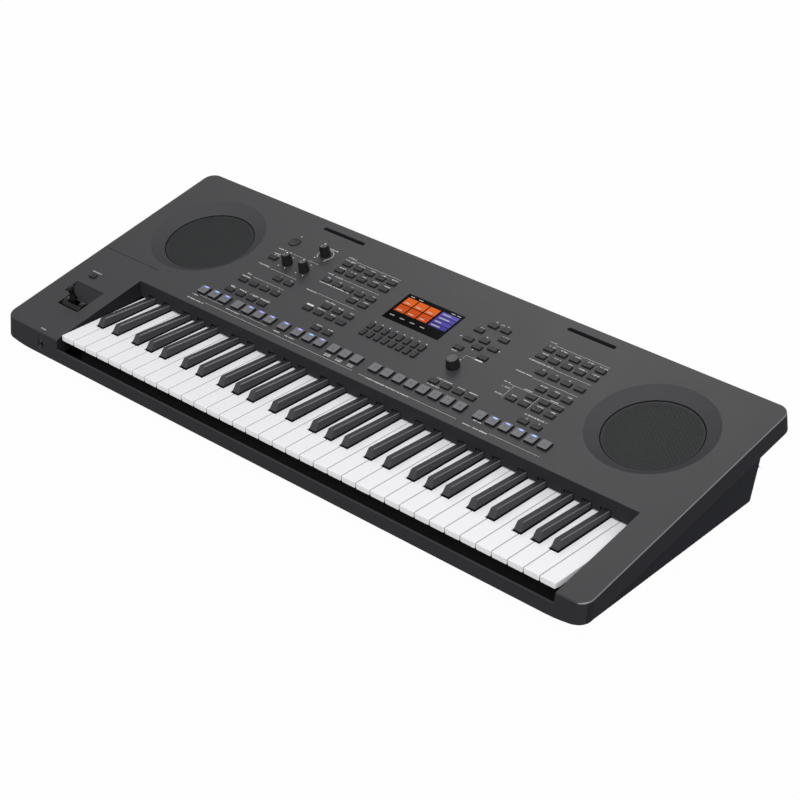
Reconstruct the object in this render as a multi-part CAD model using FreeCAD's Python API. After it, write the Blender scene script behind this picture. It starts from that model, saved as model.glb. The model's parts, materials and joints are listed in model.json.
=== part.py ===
import FreeCAD, Part
import math
import os

# Arranger keyboard, millimetres. X runs along the keys, Y to the back, Z up.
# The origin is on the floor, at the middle of the outline.

# Keys
white_count = 36
whites_per_octave = 7
key_pitch = 23.5
key_gap = 1.0
key_rise = 5.0
key_setback = 7.7
key_lip = 8.2
key_wall = 2.4
key_length = 172.0
key_travel = 10.0
black_front = 49.3
black_width = 12.4
black_top_width = 6.6
black_height = 11.5
black_fall_share = 0.042
black_rake = 7.6
black_bevel = 1.2
black_gap = 1.0
black_after = (0, 1, 3, 4, 5)
black_offset_shares = {0: -0.136, 1: 0.136, 3: -0.16, 4: 0.0, 5: 0.16}
comb_a_notes = (0, 2, 4, 6)
comb_b_notes = (1, 3, 5)
tail_reach = 16.0
spine_depth = 8.0
spine_thickness = 2.2
spine_gap = 0.8

# Case
left_cheek = 108.5
right_cheek = 42.5
well_gap_left = 1.7
well_gap_right = 5.3
well_depth = 151.3
control_depth = 243.5
panel_slope = 11.7
front_height = 53.3
slab_thickness = 27.0
skirt_drop = 4.0
skirt_end_inset = 12.0
skirt_end_run = 42.0
front_flare = 9.8
plan_radius = 17.0
edge_bevel = 1.2
wall = 3.0
slip_height = 38.9
fascia_clearance = 2.0
fascia_gap = 2.4
fascia_notch = 1.3
overrun = 1.0
fit_gap = 0.4
groove_width = 1.0
groove_depth = 0.7
groove_share = 0.124

# Lower case
side_overhang = 16.0
rear_overhang = 21.8
side_draft = 8.0
tub_radius = 16.0
flange_thickness = 2.5
belly_setback = 32.0
foot_height = 4.0
foot_radius = 11.0
foot_inset = 60.0
foot_rows = 2
foot_columns = 3

# Panel controls
pad_size = 14.5
pad_height = 3.0
button_width = 14.0
button_depth = 7.6
button_height = 2.0
mixer_width = 7.6
mixer_depth = 10.8
mixer_pitch = 12.75
mixer_count = 8
column_pitch = 20.35
half_step = 0.5
cap_gap = 0.45
cap_bevel = 0.6
cap_travel = 1.2
switch_gap = 0.5
board_drop = 7.0
board_thickness = 1.6
board_post = 6.0
board_inset = 8.0
board_end_left_share = -0.300
board_end_right_share = 0.298

# Rotary controls
knob_radius = 7.6
knob_top_radius = 6.0
knob_height = 17.0
dial_radius = 9.4
dial_top_radius = 7.4
dial_height = 13.6
knob_lift = 0.6
shaft_radius = 3.0
shaft_gap = 0.6
power_radius = 8.4
power_height = 1.3

# Display
display_width = 97.0
display_depth = 55.6
window_sink = 0.6
window_thickness = 1.2
window_lap = 2.0
module_margin = 3.0

# Music rest slots
slot_length = 76.0
slot_width = 6.0
slot_sink = 10.0
slot_wall = 4.0
slot_end_radius = 2.5

# Speakers
left_speaker_inset = 113.0
right_speaker_inset = 119.7
dish_radius = 82.4
grille_radius = 64.0
dish_sink = 10.0
grille_step = 1.6
grille_thickness = 1.2
grille_lap = 4.0
basket_flange = 2.0
basket_wall = 1.6
basket_depth = 24.0
basket_rim = 6.0
magnet_radius = 36.0
magnet_height = 20.0
neck_radius = 26.0
cone_gap = 0.4
cone_skin = 1.0
cone_depth = 14.0
cone_neck = 14.0
cone_travel = 1.5

# Joystick
joystick_inset = 64.5
joystick_row = 82.0
joystick_width = 41.0
joystick_length = 49.0
joystick_depth = 28.0
joystick_wall = 2.5
ramp_length = 22.5
ramp_side = 14.4
ramp_top = 1.2
ramp_drop = 12.0
drum_radius = 12.2
drum_axis_drop = 10.5
drum_clearance = 1.3
bracket_plate = 2.0
bracket_floor = 1.5
axle_radius = 3.0
axle_gap = 0.3
lever_slot = 20.0
blade_thickness = 6.0
blade_width = 7.0
blade_gap = 0.7
blade_foot = 3.0
lever_pin_radius = 2.2
lever_skirt_height = 15.6
lever_skirt_radius = 5.6
lever_waist_radius = 3.5
lever_tip_radius = 4.6
lever_length = 38.0
joystick_button_width = 11.0
joystick_button_row = 126.0
joystick_button_inset = 41.2

# Sockets
headphone_inset = 76.0
headphone_height = 35.2
headphone_recess = 7.2
headphone_sink = 2.0
plug_radius = 3.25
jack_length = 24.0
socket_rim = 3.0
jack_block = 15.0
jack_height = 26.0
jack_pitch = 34.0
jack_count = 4
jack_start_share = 0.10
usb_a_width = 13.1
usb_a_height = 5.7
usb_b_width = 9.0
usb_b_height = 8.4
usb_shell = 0.6
usb_length = 15.0
usb_a_share = -0.06
usb_b_share = -0.10
inlet_radius = 5.0
inlet_bore = 3.0
inlet_pin = 1.0
inlet_share = -0.16

# Inside
frame_plate = 3.0
frame_setback = 30.0
stop_rail = 10.0
felt_thickness = 2.5
felt_gap = 0.3
hinge_rail = 8.0
hinge_gap = 0.5
contact_board_setback = 92.0
contact_board_depth = 44.0
contact_rib = 4.0
contact_drop = 24.0
main_board_width = 240.0
main_board_depth = 100.0
main_board_gap = 2.6
main_post_height = 8.0
main_post_radius = 4.0
main_post_inset = 8.0

# Fasteners
screw_radius = 1.6
screw_gap = 0.4
screw_head_radius = 3.4
screw_head_height = 2.2
screw_length = 16.0
boss_size = 10.0
side_screw_shares = (0.12, 0.5, 0.86)
rear_screw_shares = (-0.36, -0.12, 0.12, 0.36)

# Columns of the panel, as shares of the case width, and rows, as shares of the control depth
pad_row_share = 0.129
row_1_share = 0.214
row_2_share = 0.320
row_3_share = 0.383
row_4_share = 0.426
row_5_share = 0.456
row_6_share = 0.496
row_7_share = 0.5606
row_8_share = 0.6665
row_9_share = 0.733
arrow_up_share = 0.608
arrow_side_share = 0.579
arrow_down_share = 0.549
pad_group_shares = {
    "style_pads_left": (-0.2969, -0.2317),
    "style_pads_right": (-0.1449, -0.1197, -0.0544),
    "registration_pads": (0.0185,),
    "part_pads": (0.1922,),
}
pad_group_counts = {
    "style_pads_left": (3, 4),
    "style_pads_right": (1, 3, 3),
    "registration_pads": (8,),
    "part_pads": (6,),
}
far_left_share = -0.2679
left_share = -0.1669
navigation_share = 0.0809
dial_row_share = 0.0986
right_share = 0.1825
mixer_share = -0.0470
mixer_row_shares = (0.3265, 0.3880)
power_shares = (-0.2679, 0.734)
knob_1_shares = (-0.2410, 0.5626)
knob_2_shares = (-0.2092, 0.5626)
volume_shares = (-0.2090, 0.7350)
dial_shares = (0.1002, 0.3610)
display_shares = (-0.0012, 0.6000)
slot_shares = (-0.2171, 0.2131)
slot_row_share = 0.926
speaker_row_share = 0.5195

# Worked out from the values above
slope = math.radians(panel_slope)
cos_slope = math.cos(slope)
sin_slope = math.sin(slope)
tan_slope = math.tan(slope)
key_span = white_count * key_pitch
case_width = left_cheek + well_gap_left + key_span + well_gap_right + right_cheek
case_left = -case_width / 2
case_right = case_width / 2
well_left = case_left + left_cheek
key_left = well_left + well_gap_left
key_right = key_left + key_span
well_right = key_right + well_gap_right
control_start = well_depth / cos_slope
panel_depth = control_start + control_depth
skirt_depth = slab_thickness + skirt_drop
rear_reach = panel_depth * cos_slope + slab_thickness * sin_slope
front_reach = front_flare * cos_slope - skirt_depth * sin_slope
y_front = -(rear_reach - front_reach) / 2
key_top = front_height + key_rise
key_front = y_front + key_setback
key_back = key_front + key_length
hinge_reach = key_length + tail_reach
hinge_y = key_front + hinge_reach
key_bottom = key_top - key_lip
press_angle = math.asin(key_travel / hinge_reach)
fascia_y = y_front + well_depth
tub_rear = y_front + (panel_depth - rear_overhang) * cos_slope + slab_thickness * sin_slope
floor_top = foot_height + wall
cap_root = -(wall + board_drop) + switch_gap + cap_travel
board_top = -(wall + board_drop)
UP = FreeCAD.Vector(0, 0, 1)
ALONG = FreeCAD.Vector(1, 0, 0)
BACK = FreeCAD.Vector(0, 1, 0)


def vec(x, y, z):
    return FreeCAD.Vector(x, y, z)


def box(x0, x1, y0, y1, z0, z1):
    return Part.makeBox(x1 - x0, y1 - y0, z1 - z0, vec(x0, y0, z0))


def on_panel(shape):
    """Moves a shape from panel coordinates (along, up the slope, off the panel) to its place."""
    placed = shape.copy()
    placed.rotate(vec(0, 0, 0), ALONG, panel_slope)
    placed.translate(vec(0, y_front, front_height))
    return placed


def column(share):
    return share * case_width


def row(share):
    return control_start + share * control_depth


def polygon(points):
    return Part.makePolygon(points + points[:1])


def prism(points, direction):
    return Part.Face(polygon(points)).extrude(direction)


def rounded_outline(x0, x1, y0, y1, radius, z):
    """A rectangle with round corners, as one closed wire at height z."""
    cut = radius * (1 - math.sqrt(0.5))
    edges = []
    corners = (
        (vec(x1 - radius, y0, z), vec(x1 - cut, y0 + cut, z), vec(x1, y0 + radius, z)),
        (vec(x1, y1 - radius, z), vec(x1 - cut, y1 - cut, z), vec(x1 - radius, y1, z)),
        (vec(x0 + radius, y1, z), vec(x0 + cut, y1 - cut, z), vec(x0, y1 - radius, z)),
        (vec(x0, y0 + radius, z), vec(x0 + cut, y0 + cut, z), vec(x0 + radius, y0, z)),
    )
    for index, (start, middle, end) in enumerate(corners):
        following = corners[(index + 1) % len(corners)][0]
        edges.append(Part.Arc(start, middle, end).toShape())
        edges.append(Part.makeLine(end, following))
    return Part.Wire(edges)


def loft(wires):
    return Part.makeLoft(wires, True, True)


def fuse(shapes):
    return shapes[0].fuse(shapes[1:]).removeSplitter()


def cut(shape, tools):
    return shape.cut(Part.makeCompound(tools))


def turned(points, foot, axis):
    """A solid of revolution about a line along Z through foot, from (radius, height) points."""
    outline = [vec(foot.x + radius, foot.y, foot.z + height) for radius, height in points]
    return Part.Face(polygon(outline)).revolve(foot, axis, 360)


def save(name, shapes):
    shape = shapes[0] if len(shapes) == 1 else Part.makeCompound(shapes)
    solids = shape.Solids
    assert solids and all(solid.isValid() for solid in solids), name
    shape.exportStep(os.path.join("parts", name + ".step"))
    print(name, len(solids), round(sum(solid.Volume for solid in solids) / 1000, 1), "cm3")


# Caps of the buttons: each is a row of (x, s) places, with its size and height
def cap_row(first_share, start, count, row_share):
    first = column(first_share)
    return [(first + (start + index) * column_pitch, row(row_share)) for index in range(count)]


button_groups = {
    "style_buttons": (
        cap_row(far_left_share, 0, 4, row_1_share)
        + cap_row(far_left_share, 0, 4, row_2_share)
        + cap_row(far_left_share, 2, 2, row_4_share)
        + cap_row(far_left_share, 0, 1, row_7_share)
    ),
    "song_buttons_rear": cap_row(left_share, 0, 5, row_9_share) + cap_row(left_share, 0, 5, row_8_share),
    "song_buttons_middle": cap_row(left_share, 0, 5, row_7_share) + cap_row(left_share, 3, 2, row_6_share),
    "song_buttons_front": (
        cap_row(left_share, 2, 3, row_3_share)
        + cap_row(left_share, 1, 4, row_2_share)
        + cap_row(left_share, 3, 2, row_1_share)
    ),
    "navigation_buttons": (
        cap_row(navigation_share, half_step, 2, row_9_share)
        + cap_row(navigation_share, 0, 1, row_8_share)
        + cap_row(navigation_share, 2, 1, row_8_share)
        + cap_row(navigation_share, 1, 1, arrow_up_share)
        + cap_row(navigation_share, 0, 1, arrow_side_share)
        + cap_row(navigation_share, 2, 1, arrow_side_share)
        + cap_row(navigation_share, 1, 1, arrow_down_share)
        + cap_row(navigation_share, 0, 1, row_6_share)
        + cap_row(navigation_share, 2, 1, row_6_share)
    ),
    "dial_buttons": cap_row(dial_row_share, 0, 4, row_1_share),
    "voice_buttons_rear": cap_row(right_share, 0, 5, row_9_share) + cap_row(right_share, 0, 5, row_8_share),
    "voice_buttons_front": (
        cap_row(right_share, 1, 4, row_7_share)
        + cap_row(right_share, 2, 3, row_5_share)
        + cap_row(right_share, 2, 3, row_3_share)
        + cap_row(right_share, 1, 4, row_2_share)
        + cap_row(right_share, 3, 2, row_1_share)
    ),
}
joystick_x = case_left + joystick_inset
joystick_button_place = (case_left + joystick_button_inset, joystick_button_row)
mixer_places = [
    (column(mixer_share) + index * mixer_pitch, row(share))
    for share in mixer_row_shares
    for index in range(mixer_count)
]


def cap(place, width, depth, height):
    """One button cap: a block with bevelled top edges, standing through its hole."""
    x, s = place
    block = box(x - width / 2, x + width / 2, s - depth / 2, s + depth / 2, cap_root, height)
    top_edges = [edge for edge in block.Edges if edge.BoundBox.ZMin > height - overrun]
    return block.makeChamfer(cap_bevel, top_edges)


def cap_hole(place, width, depth):
    x, s = place
    half_x = width / 2 + cap_gap
    half_s = depth / 2 + cap_gap
    return box(x - half_x, x + half_x, s - half_s, s + half_s, -wall - overrun, overrun)


cap_sets = {}
hole_tools = []
for name, places in button_groups.items():
    cap_sets[name] = [cap(place, button_width, button_depth, button_height) for place in places]
    hole_tools += [cap_hole(place, button_width, button_depth) for place in places]
for name, shares in pad_group_shares.items():
    places = [
        (column(share) + index * column_pitch, row(pad_row_share))
        for share, count in zip(shares, pad_group_counts[name])
        for index in range(count)
    ]
    cap_sets[name] = [cap(place, pad_size, pad_size, pad_height) for place in places]
    hole_tools += [cap_hole(place, pad_size, pad_size) for place in places]
cap_sets["mixer_buttons"] = [cap(place, mixer_width, mixer_depth, button_height) for place in mixer_places]
hole_tools += [cap_hole(place, mixer_width, mixer_depth) for place in mixer_places]
cap_sets["joystick_button"] = [cap(joystick_button_place, joystick_button_width, button_depth, button_height)]
hole_tools.append(cap_hole(joystick_button_place, joystick_button_width, button_depth))


# Upper case: a slanted slab shell with the key well, the dishes and the control openings
def slab_outline(inset, depth):
    """The slab's outline at a depth under the panel; the front face comes forward going down."""
    flare = front_flare * depth / skirt_depth
    return rounded_outline(
        case_left + inset, case_right - inset, inset - flare, panel_depth - inset, plan_radius - inset, -depth
    )


def speaker_centre(inset, side):
    return (side * (case_right - inset), row(speaker_row_share))


speakers = {
    "left": speaker_centre(left_speaker_inset, -1),
    "right": speaker_centre(right_speaker_inset, 1),
}
grille_bed = -(dish_sink + grille_step)
dish_foot = grille_bed - wall
grille_opening = grille_radius - grille_lap


def panel_axis(place, height):
    return vec(place[0], place[1], height)


def dish_ring(centre):
    points = [
        (0, 0),
        (dish_radius + wall, 0),
        (grille_radius + wall, -dish_sink),
        (grille_radius + wall, dish_foot),
        (0, dish_foot),
    ]
    return turned(points, panel_axis(centre, 0), UP)


def dish_hollow(centre):
    points = [
        (0, overrun),
        (dish_radius, overrun),
        (dish_radius, 0),
        (grille_radius, -dish_sink),
        (grille_radius, grille_bed),
        (grille_opening, grille_bed),
        (grille_opening, dish_foot - overrun),
        (0, dish_foot - overrun),
    ]
    return turned(points, panel_axis(centre, 0), UP)


def round_hole(shares, radius):
    x, s = column(shares[0]), row(shares[1])
    return Part.makeCylinder(radius, wall + 2 * overrun, vec(x, s, -wall - overrun), UP)


display_x = column(display_shares[0])
display_s = row(display_shares[1])


def display_block(margin, low, high):
    half_x = display_width / 2 + margin
    half_s = display_depth / 2 + margin
    return box(display_x - half_x, display_x + half_x, display_s - half_s, display_s + half_s, low, high)


window_top = -window_sink
window_bottom = window_top - window_thickness
slot_s = row(slot_row_share)


def slot_block(share, margin, low, high):
    x = column(share)
    half_x = slot_length / 2 + margin
    half_s = slot_width / 2 + margin
    outline = rounded_outline(x - half_x, x + half_x, slot_s - half_s, slot_s + half_s, slot_end_radius, low)
    return Part.Face(outline).extrude(vec(0, 0, high - low))


joystick_low = joystick_row - joystick_length / 2
joystick_high = joystick_row + joystick_length / 2
joystick_left = joystick_x - joystick_width / 2
joystick_right = joystick_x + joystick_width / 2
ramp_start = joystick_high - ramp_length
ramp_left = joystick_left - ramp_side
joystick_block = box(
    ramp_left - joystick_wall,
    joystick_right + joystick_wall,
    joystick_low - joystick_wall,
    joystick_high + joystick_wall,
    -joystick_depth - joystick_wall,
    0,
)
joystick_pit = box(joystick_left, joystick_right, joystick_low, ramp_start, -joystick_depth, overrun)
joystick_ramp = prism(
    [
        vec(ramp_left, ramp_start - overrun, overrun),
        vec(ramp_left, joystick_high, overrun),
        vec(ramp_left, joystick_high, -ramp_top),
        vec(ramp_left, ramp_start, -ramp_drop),
        vec(ramp_left, ramp_start - overrun, -ramp_drop),
    ],
    vec(joystick_right - ramp_left, 0, 0),
)

boss_half = boss_size / 2
boss_foot = -slab_thickness + flange_thickness
side_screw_x = case_right - wall - boss_half
rear_screw_s = panel_depth - wall - boss_half
screw_places = [(side * side_screw_x, share * panel_depth) for side in (-1, 1) for share in side_screw_shares]
screw_places += [(column(share), rear_screw_s) for share in rear_screw_shares]


def screw_boss(place):
    x, s = place
    return box(x - boss_half, x + boss_half, s - boss_half, s + boss_half, boss_foot, -wall + overrun)


def screw_bore(place, low, high):
    return Part.makeCylinder(screw_radius + screw_gap, high - low, vec(place[0], place[1], low), UP)


board_left = column(board_end_left_share)
board_right = column(board_end_right_share)
board_front = control_start + board_inset
board_back = row(slot_row_share) - slot_width / 2 - slot_wall - board_inset
post_half = board_post / 2
board_posts = [
    box(x - post_half, x + post_half, s - post_half, s + post_half, board_top, -wall + overrun)
    for x in (board_left + board_post, board_right - board_post)
    for s in (board_front + post_half, board_back - post_half)
]

slab = loft(
    [slab_outline(edge_bevel, 0), slab_outline(0, edge_bevel), slab_outline(0, skirt_depth)]
)
hollow = loft([slab_outline(wall, wall), slab_outline(wall, skirt_depth + overrun)])
cheek_walls = [
    box(well_left - wall, well_left, -panel_depth, control_start + wall, boss_foot, -wall + overrun),
    box(well_right, well_right + wall, -panel_depth, control_start + wall, boss_foot, -wall + overrun),
]
ribs = cheek_walls + [joystick_block]
ribs += [dish_ring(centre) for centre in speakers.values()]
ribs += [slot_block(share, slot_wall, -slot_sink, -wall + overrun) for share in slot_shares]
ribs += [screw_boss(place) for place in screw_places]
ribs += board_posts
hollow = on_panel(hollow.cut(Part.makeCompound(ribs)))


# The fascia comes down to the white keys, with a notch for each black key
def white_left(index):
    return key_left + index * key_pitch


def black_centre(index):
    """Centre of the black key that follows a white key."""
    return white_left(index + 1) + black_offset_shares[index % whites_per_octave] * key_pitch


def has_black(index):
    return 0 <= index < white_count - 1 and index % whites_per_octave in black_after


def black_drop(y):
    """How far the top of a black key has fallen at a distance from the front."""
    return black_fall_share * (y - key_front - black_front - black_rake)


notch_half = black_width / 2 + fascia_notch
notch_roof = key_top + black_height - black_drop(fascia_y) + fascia_clearance
fascia_notches = [
    box(
        black_centre(index) - notch_half,
        black_centre(index) + notch_half,
        fascia_y - overrun,
        fascia_y + wall + overrun,
        key_top,
        notch_roof,
    )
    for index in range(white_count)
    if has_black(index)
]
fascia = box(
    well_left - wall,
    well_right + wall,
    fascia_y,
    fascia_y + wall,
    key_top + fascia_gap,
    front_height + panel_depth,
)
hollow = hollow.cut(cut(fascia, fascia_notches))
well = box(
    well_left,
    well_right,
    y_front - front_flare - overrun,
    fascia_y,
    slip_height,
    front_height + panel_depth,
)

# The skirt under the front face fades out towards both ends along an arc
skirt_end = case_right - skirt_end_inset
skirt_flat = skirt_end - skirt_end_run
skirt_end_radius = (skirt_end_run ** 2 + skirt_drop ** 2) / (2 * skirt_drop)


def skirt_end_edge(side):
    half_run = skirt_end_run / 2
    sag = skirt_end_radius - math.sqrt(skirt_end_radius ** 2 - half_run ** 2)
    start = vec(side * skirt_flat, -front_flare - overrun, -skirt_depth)
    middle = vec(side * (skirt_flat + half_run), -front_flare - overrun, -skirt_depth + sag)
    end = vec(side * skirt_end, -front_flare - overrun, -slab_thickness)
    return start, middle, end


def skirt_trim(side):
    start, middle, end = skirt_end_edge(side)
    below = -skirt_depth - overrun
    outer_top = vec(side * (case_right + overrun), end.y, end.z)
    outer_low = vec(side * (case_right + overrun), end.y, below)
    inner_low = vec(start.x, end.y, below)
    edges = [
        Part.Arc(start, middle, end).toShape(),
        Part.makeLine(end, outer_top),
        Part.makeLine(outer_top, outer_low),
        Part.makeLine(outer_low, inner_low),
        Part.makeLine(inner_low, start),
    ]
    return Part.Face(Part.Wire(edges)).extrude(vec(0, panel_depth, 0))


under_slab = box(
    case_left - overrun,
    case_right + overrun,
    wall - front_flare,
    panel_depth + overrun,
    -skirt_depth - overrun,
    -slab_thickness,
)
panel_cuts = [joystick_pit, joystick_ramp, under_slab, skirt_trim(-1), skirt_trim(1)]
panel_cuts += [dish_hollow(centre) for centre in speakers.values()]
panel_cuts += [slot_block(share, 0, -slot_sink, overrun) for share in slot_shares]
panel_cuts += [screw_bore(place, boss_foot - overrun, -wall - overrun) for place in screw_places]
panel_cuts += [
    display_block(fit_gap, window_bottom, overrun),
    display_block(-window_lap, -wall - overrun, overrun),
    box(
        case_left - overrun,
        speakers["left"][0],
        row(groove_share) - groove_width / 2,
        row(groove_share) + groove_width / 2,
        -groove_depth,
        overrun,
    ),
]
for shares in (knob_1_shares, knob_2_shares, volume_shares, dial_shares):
    panel_cuts.append(round_hole(shares, shaft_radius + shaft_gap))
panel_cuts.append(round_hole(power_shares, power_radius + cap_gap))
headphone_x = case_left + headphone_inset
headphone_face = y_front - front_reach * (front_height - headphone_height) / (skirt_depth / cos_slope)
headphone_half = headphone_recess + socket_rim
headphone_notch = box(
    headphone_x - headphone_half,
    headphone_x + headphone_half,
    y_front - front_flare - overrun,
    y_front + 2 * wall,
    0,
    headphone_height + headphone_half,
)
top_case = cut(slab, panel_cuts + hole_tools)
top_case = on_panel(top_case).cut(Part.makeCompound([hollow, well]))
headphone_plate = top_case.common(headphone_notch)
top_case = top_case.cut(headphone_notch)

# Lower case: a drafted tub under a flange that closes the slab
tub_top = slab_thickness - flange_thickness
tub_low = front_height + panel_depth * sin_slope


def tub(inset):
    """The tub's body, drawn in on every side by inset; the rear wall stands upright."""
    outlines = []
    for depth in (tub_top, tub_low):
        drop = depth - slab_thickness
        half = case_right - side_overhang - inset - drop * math.tan(math.radians(side_draft))
        rear = panel_depth - rear_overhang - inset - drop * tan_slope
        front = wall + fit_gap + inset
        outlines.append(rounded_outline(-half, half, front, rear, tub_radius - inset, -depth))
    body = on_panel(loft(outlines))
    floor = foot_height + inset
    nose = y_front + wall + fit_gap + inset
    belly = y_front + belly_setback + inset
    nose_height = front_height - skirt_depth + inset
    under = prism(
        [
            vec(case_left, nose - panel_depth, nose_height),
            vec(case_left, nose, nose_height),
            vec(case_left, belly, floor),
            vec(case_left, tub_rear + panel_depth, floor),
            vec(case_left, tub_rear + panel_depth, floor - tub_low),
            vec(case_left, nose - panel_depth, floor - tub_low),
        ],
        vec(case_width, 0, 0),
    )
    return body.cut(under)


flange_inset = wall + fit_gap
flange = loft([slab_outline(flange_inset, tub_top), slab_outline(flange_inset, slab_thickness)])
flange = on_panel(cut(flange, [screw_bore(place, -slab_thickness - overrun, 0) for place in screw_places]))
hinge_front = hinge_y + hinge_gap
hinge_back = hinge_front + hinge_rail
main_board_y = hinge_back + main_board_gap + main_board_depth / 2
main_posts = [
    Part.makeCylinder(
        main_post_radius,
        main_post_height + wall,
        vec(
            side_x * (main_board_width / 2 - main_post_inset),
            main_board_y + side_y * (main_board_depth / 2 - main_post_inset),
            foot_height,
        ),
        UP,
    )
    for side_x in (-1, 1)
    for side_y in (-1, 1)
]
jack_xs = [column(jack_start_share) + index * jack_pitch for index in range(jack_count)]
usb_a_x = column(usb_a_share)
usb_b_x = column(usb_b_share)
inlet_x = column(inlet_share)


def rear_block(x, width, height, front, back):
    half_z = height / 2
    return box(x - width / 2, x + width / 2, front, back, jack_height - half_z, jack_height + half_z)


def rear_round(x, radius, front, back):
    return Part.makeCylinder(radius, back - front, vec(x, front, jack_height), BACK)


rear_start = tub_rear - 2 * wall
rear_end = tub_rear + 2 * wall
rear_inner = tub_rear - wall
jack_half = jack_pitch / 2
jack_plate_top = jack_height + jack_block / 2 + socket_rim
rear_cuts = [
    box(jack_xs[0] - jack_half, jack_xs[-1] + jack_half, rear_inner, rear_end, 0, jack_plate_top),
    rear_round(inlet_x, inlet_radius + fit_gap, rear_start, rear_end),
]
usb_a_outer = (usb_a_width + 2 * usb_shell, usb_a_height + 2 * usb_shell)
usb_b_outer = (usb_b_width + 2 * usb_shell, usb_b_height + 2 * usb_shell)
for x, outer in ((usb_a_x, usb_a_outer), (usb_b_x, usb_b_outer)):
    rear_cuts.append(rear_block(x, outer[0] + 2 * fit_gap, outer[1] + 2 * fit_gap, rear_start, rear_end))
bottom_case = fuse([flange, tub(0)]).cut(tub(wall))
bottom_case = fuse([bottom_case] + main_posts)
headphone_hole = Part.makeCylinder(
    headphone_recess + fit_gap, jack_length, vec(headphone_x, y_front, headphone_height), BACK
)
bottom_case = cut(bottom_case, rear_cuts + [headphone_hole])


# Keys
spine_front = hinge_y - spine_depth
black_clear = black_width / 2 + black_gap
notch_y = key_front + black_front - black_gap


def level(order):
    """Bottom of the tail of a comb; the combs of one octave lie over one another."""
    return key_bottom + order * (spine_thickness + spine_gap)


def tail(x0, x1, order):
    return box(x0, x1, key_back - key_wall, hinge_y, level(order), level(order) + spine_thickness)


def spine(first, count, order):
    x0 = white_left(first) + key_gap / 2
    x1 = white_left(first + count) - key_gap / 2
    return box(x0, x1, spine_front, hinge_y, level(order), level(order) + spine_thickness)


def white_key(index, order):
    x0 = white_left(index) + key_gap / 2
    x1 = white_left(index + 1) - key_gap / 2
    narrow0 = black_centre(index - 1) + black_clear if has_black(index - 1) else x0
    narrow1 = black_centre(index) - black_clear if has_black(index) else x1
    front = box(x0, x1, key_front, notch_y, key_bottom, key_top)
    rear = box(narrow0, narrow1, notch_y - key_wall, key_back, key_bottom, key_top)
    roof = key_top - key_wall
    hollow_front = box(x0 + key_wall, x1 - key_wall, key_front + key_wall, notch_y - key_wall, 0, roof)
    hollow_rear = box(
        narrow0 + key_wall, narrow1 - key_wall, notch_y - 2 * key_wall, key_back - key_wall, 0, roof
    )
    shell = cut(fuse([front, rear]), [hollow_front, hollow_rear])
    return fuse([shell, tail(narrow0, narrow1, order)])


def black_key(index, order):
    centre = black_centre(index)
    front = key_front + black_front
    half = black_width / 2
    crown_half = black_top_width / 2
    shoulder_half = crown_half + black_bevel
    shoulder = black_height - black_bevel
    lean_share = (half - shoulder_half) / shoulder

    def ring(out, rake, height):
        near = black_drop(front + rake)
        far = black_drop(key_back)
        near_out = out + lean_share * near
        far_out = out + lean_share * far
        return polygon(
            [
                vec(centre - near_out, front + rake, key_top + height - near),
                vec(centre + near_out, front + rake, key_top + height - near),
                vec(centre + far_out, key_back, key_top + height - far),
                vec(centre - far_out, key_back, key_top + height - far),
            ]
        )

    foot = polygon(
        [
            vec(centre - half, front, key_top),
            vec(centre + half, front, key_top),
            vec(centre + half, key_back, key_top),
            vec(centre - half, key_back, key_top),
        ]
    )
    wires = [
        foot,
        ring(shoulder_half, black_rake - black_bevel, shoulder),
        ring(crown_half, black_rake, black_height),
    ]
    lower = box(centre - half, centre + half, front, key_back, key_bottom, key_top)
    roof = key_top + shoulder - key_wall - black_drop(key_back)
    pocket_half = black_top_width / 2 + black_bevel - key_wall
    pocket_front = front + black_rake + key_wall
    pocket_back = key_back - key_wall
    pocket = box(centre - pocket_half, centre + pocket_half, pocket_front, pocket_back, 0, roof)
    base_half = half - key_wall
    base_roof = key_top - key_wall
    base_pocket = box(centre - base_half, centre + base_half, front + key_wall, pocket_back, 0, base_roof)
    shell = cut(fuse([lower, loft(wires)]), [pocket, base_pocket])
    return fuse([shell, tail(centre - half, centre + half, order)])


octaves = white_count // whites_per_octave
combs = {}
for octave in range(octaves):
    first = octave * whites_per_octave
    for label, order, notes in (("a", 0, comb_a_notes), ("b", 1, comb_b_notes)):
        keys = [white_key(first + note, order) for note in notes]
        combs[f"white_keys_{label}_{octave + 1}"] = fuse([spine(first, whites_per_octave, order)] + keys)
    keys = [black_key(first + note, 2) for note in black_after]
    combs[f"black_keys_{octave + 1}"] = fuse([spine(first, whites_per_octave, 2)] + keys)
last = white_count - 1
combs["white_key_last"] = fuse([white_key(last, 0), spine(last, 1, 0)])

# Key frame: a tray on the floor of the case, with the stop rail in front and the hinge rail behind
frame_left = key_left + key_gap / 2
frame_right = key_right - key_gap / 2
frame_front = key_front + frame_setback
frame_top = floor_top + frame_plate
stop_back = frame_front + stop_rail
stop_drop = (hinge_reach - frame_setback) * math.tan(press_angle)
felt_top = key_bottom - stop_drop - felt_gap
contact_front = key_front + contact_board_setback
contact_back = contact_front + contact_board_depth
contact_top = key_top - contact_drop
rail_spans = (
    (frame_front, stop_back, felt_top - felt_thickness),
    (hinge_front, hinge_back, key_top),
    (contact_front, contact_front + contact_rib, contact_top - board_thickness),
    (contact_back - contact_rib, contact_back, contact_top - board_thickness),
)
key_frame = fuse(
    [box(frame_left, frame_right, frame_front, hinge_back, floor_top, frame_top)]
    + [box(frame_left, frame_right, front, back, floor_top, top) for front, back, top in rail_spans]
)
key_felt = box(frame_left, frame_right, frame_front, stop_back, felt_top - felt_thickness, felt_top)
contact_seat = contact_top - board_thickness
contact_board = box(frame_left, frame_right, contact_front, contact_back, contact_seat, contact_top)


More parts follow.
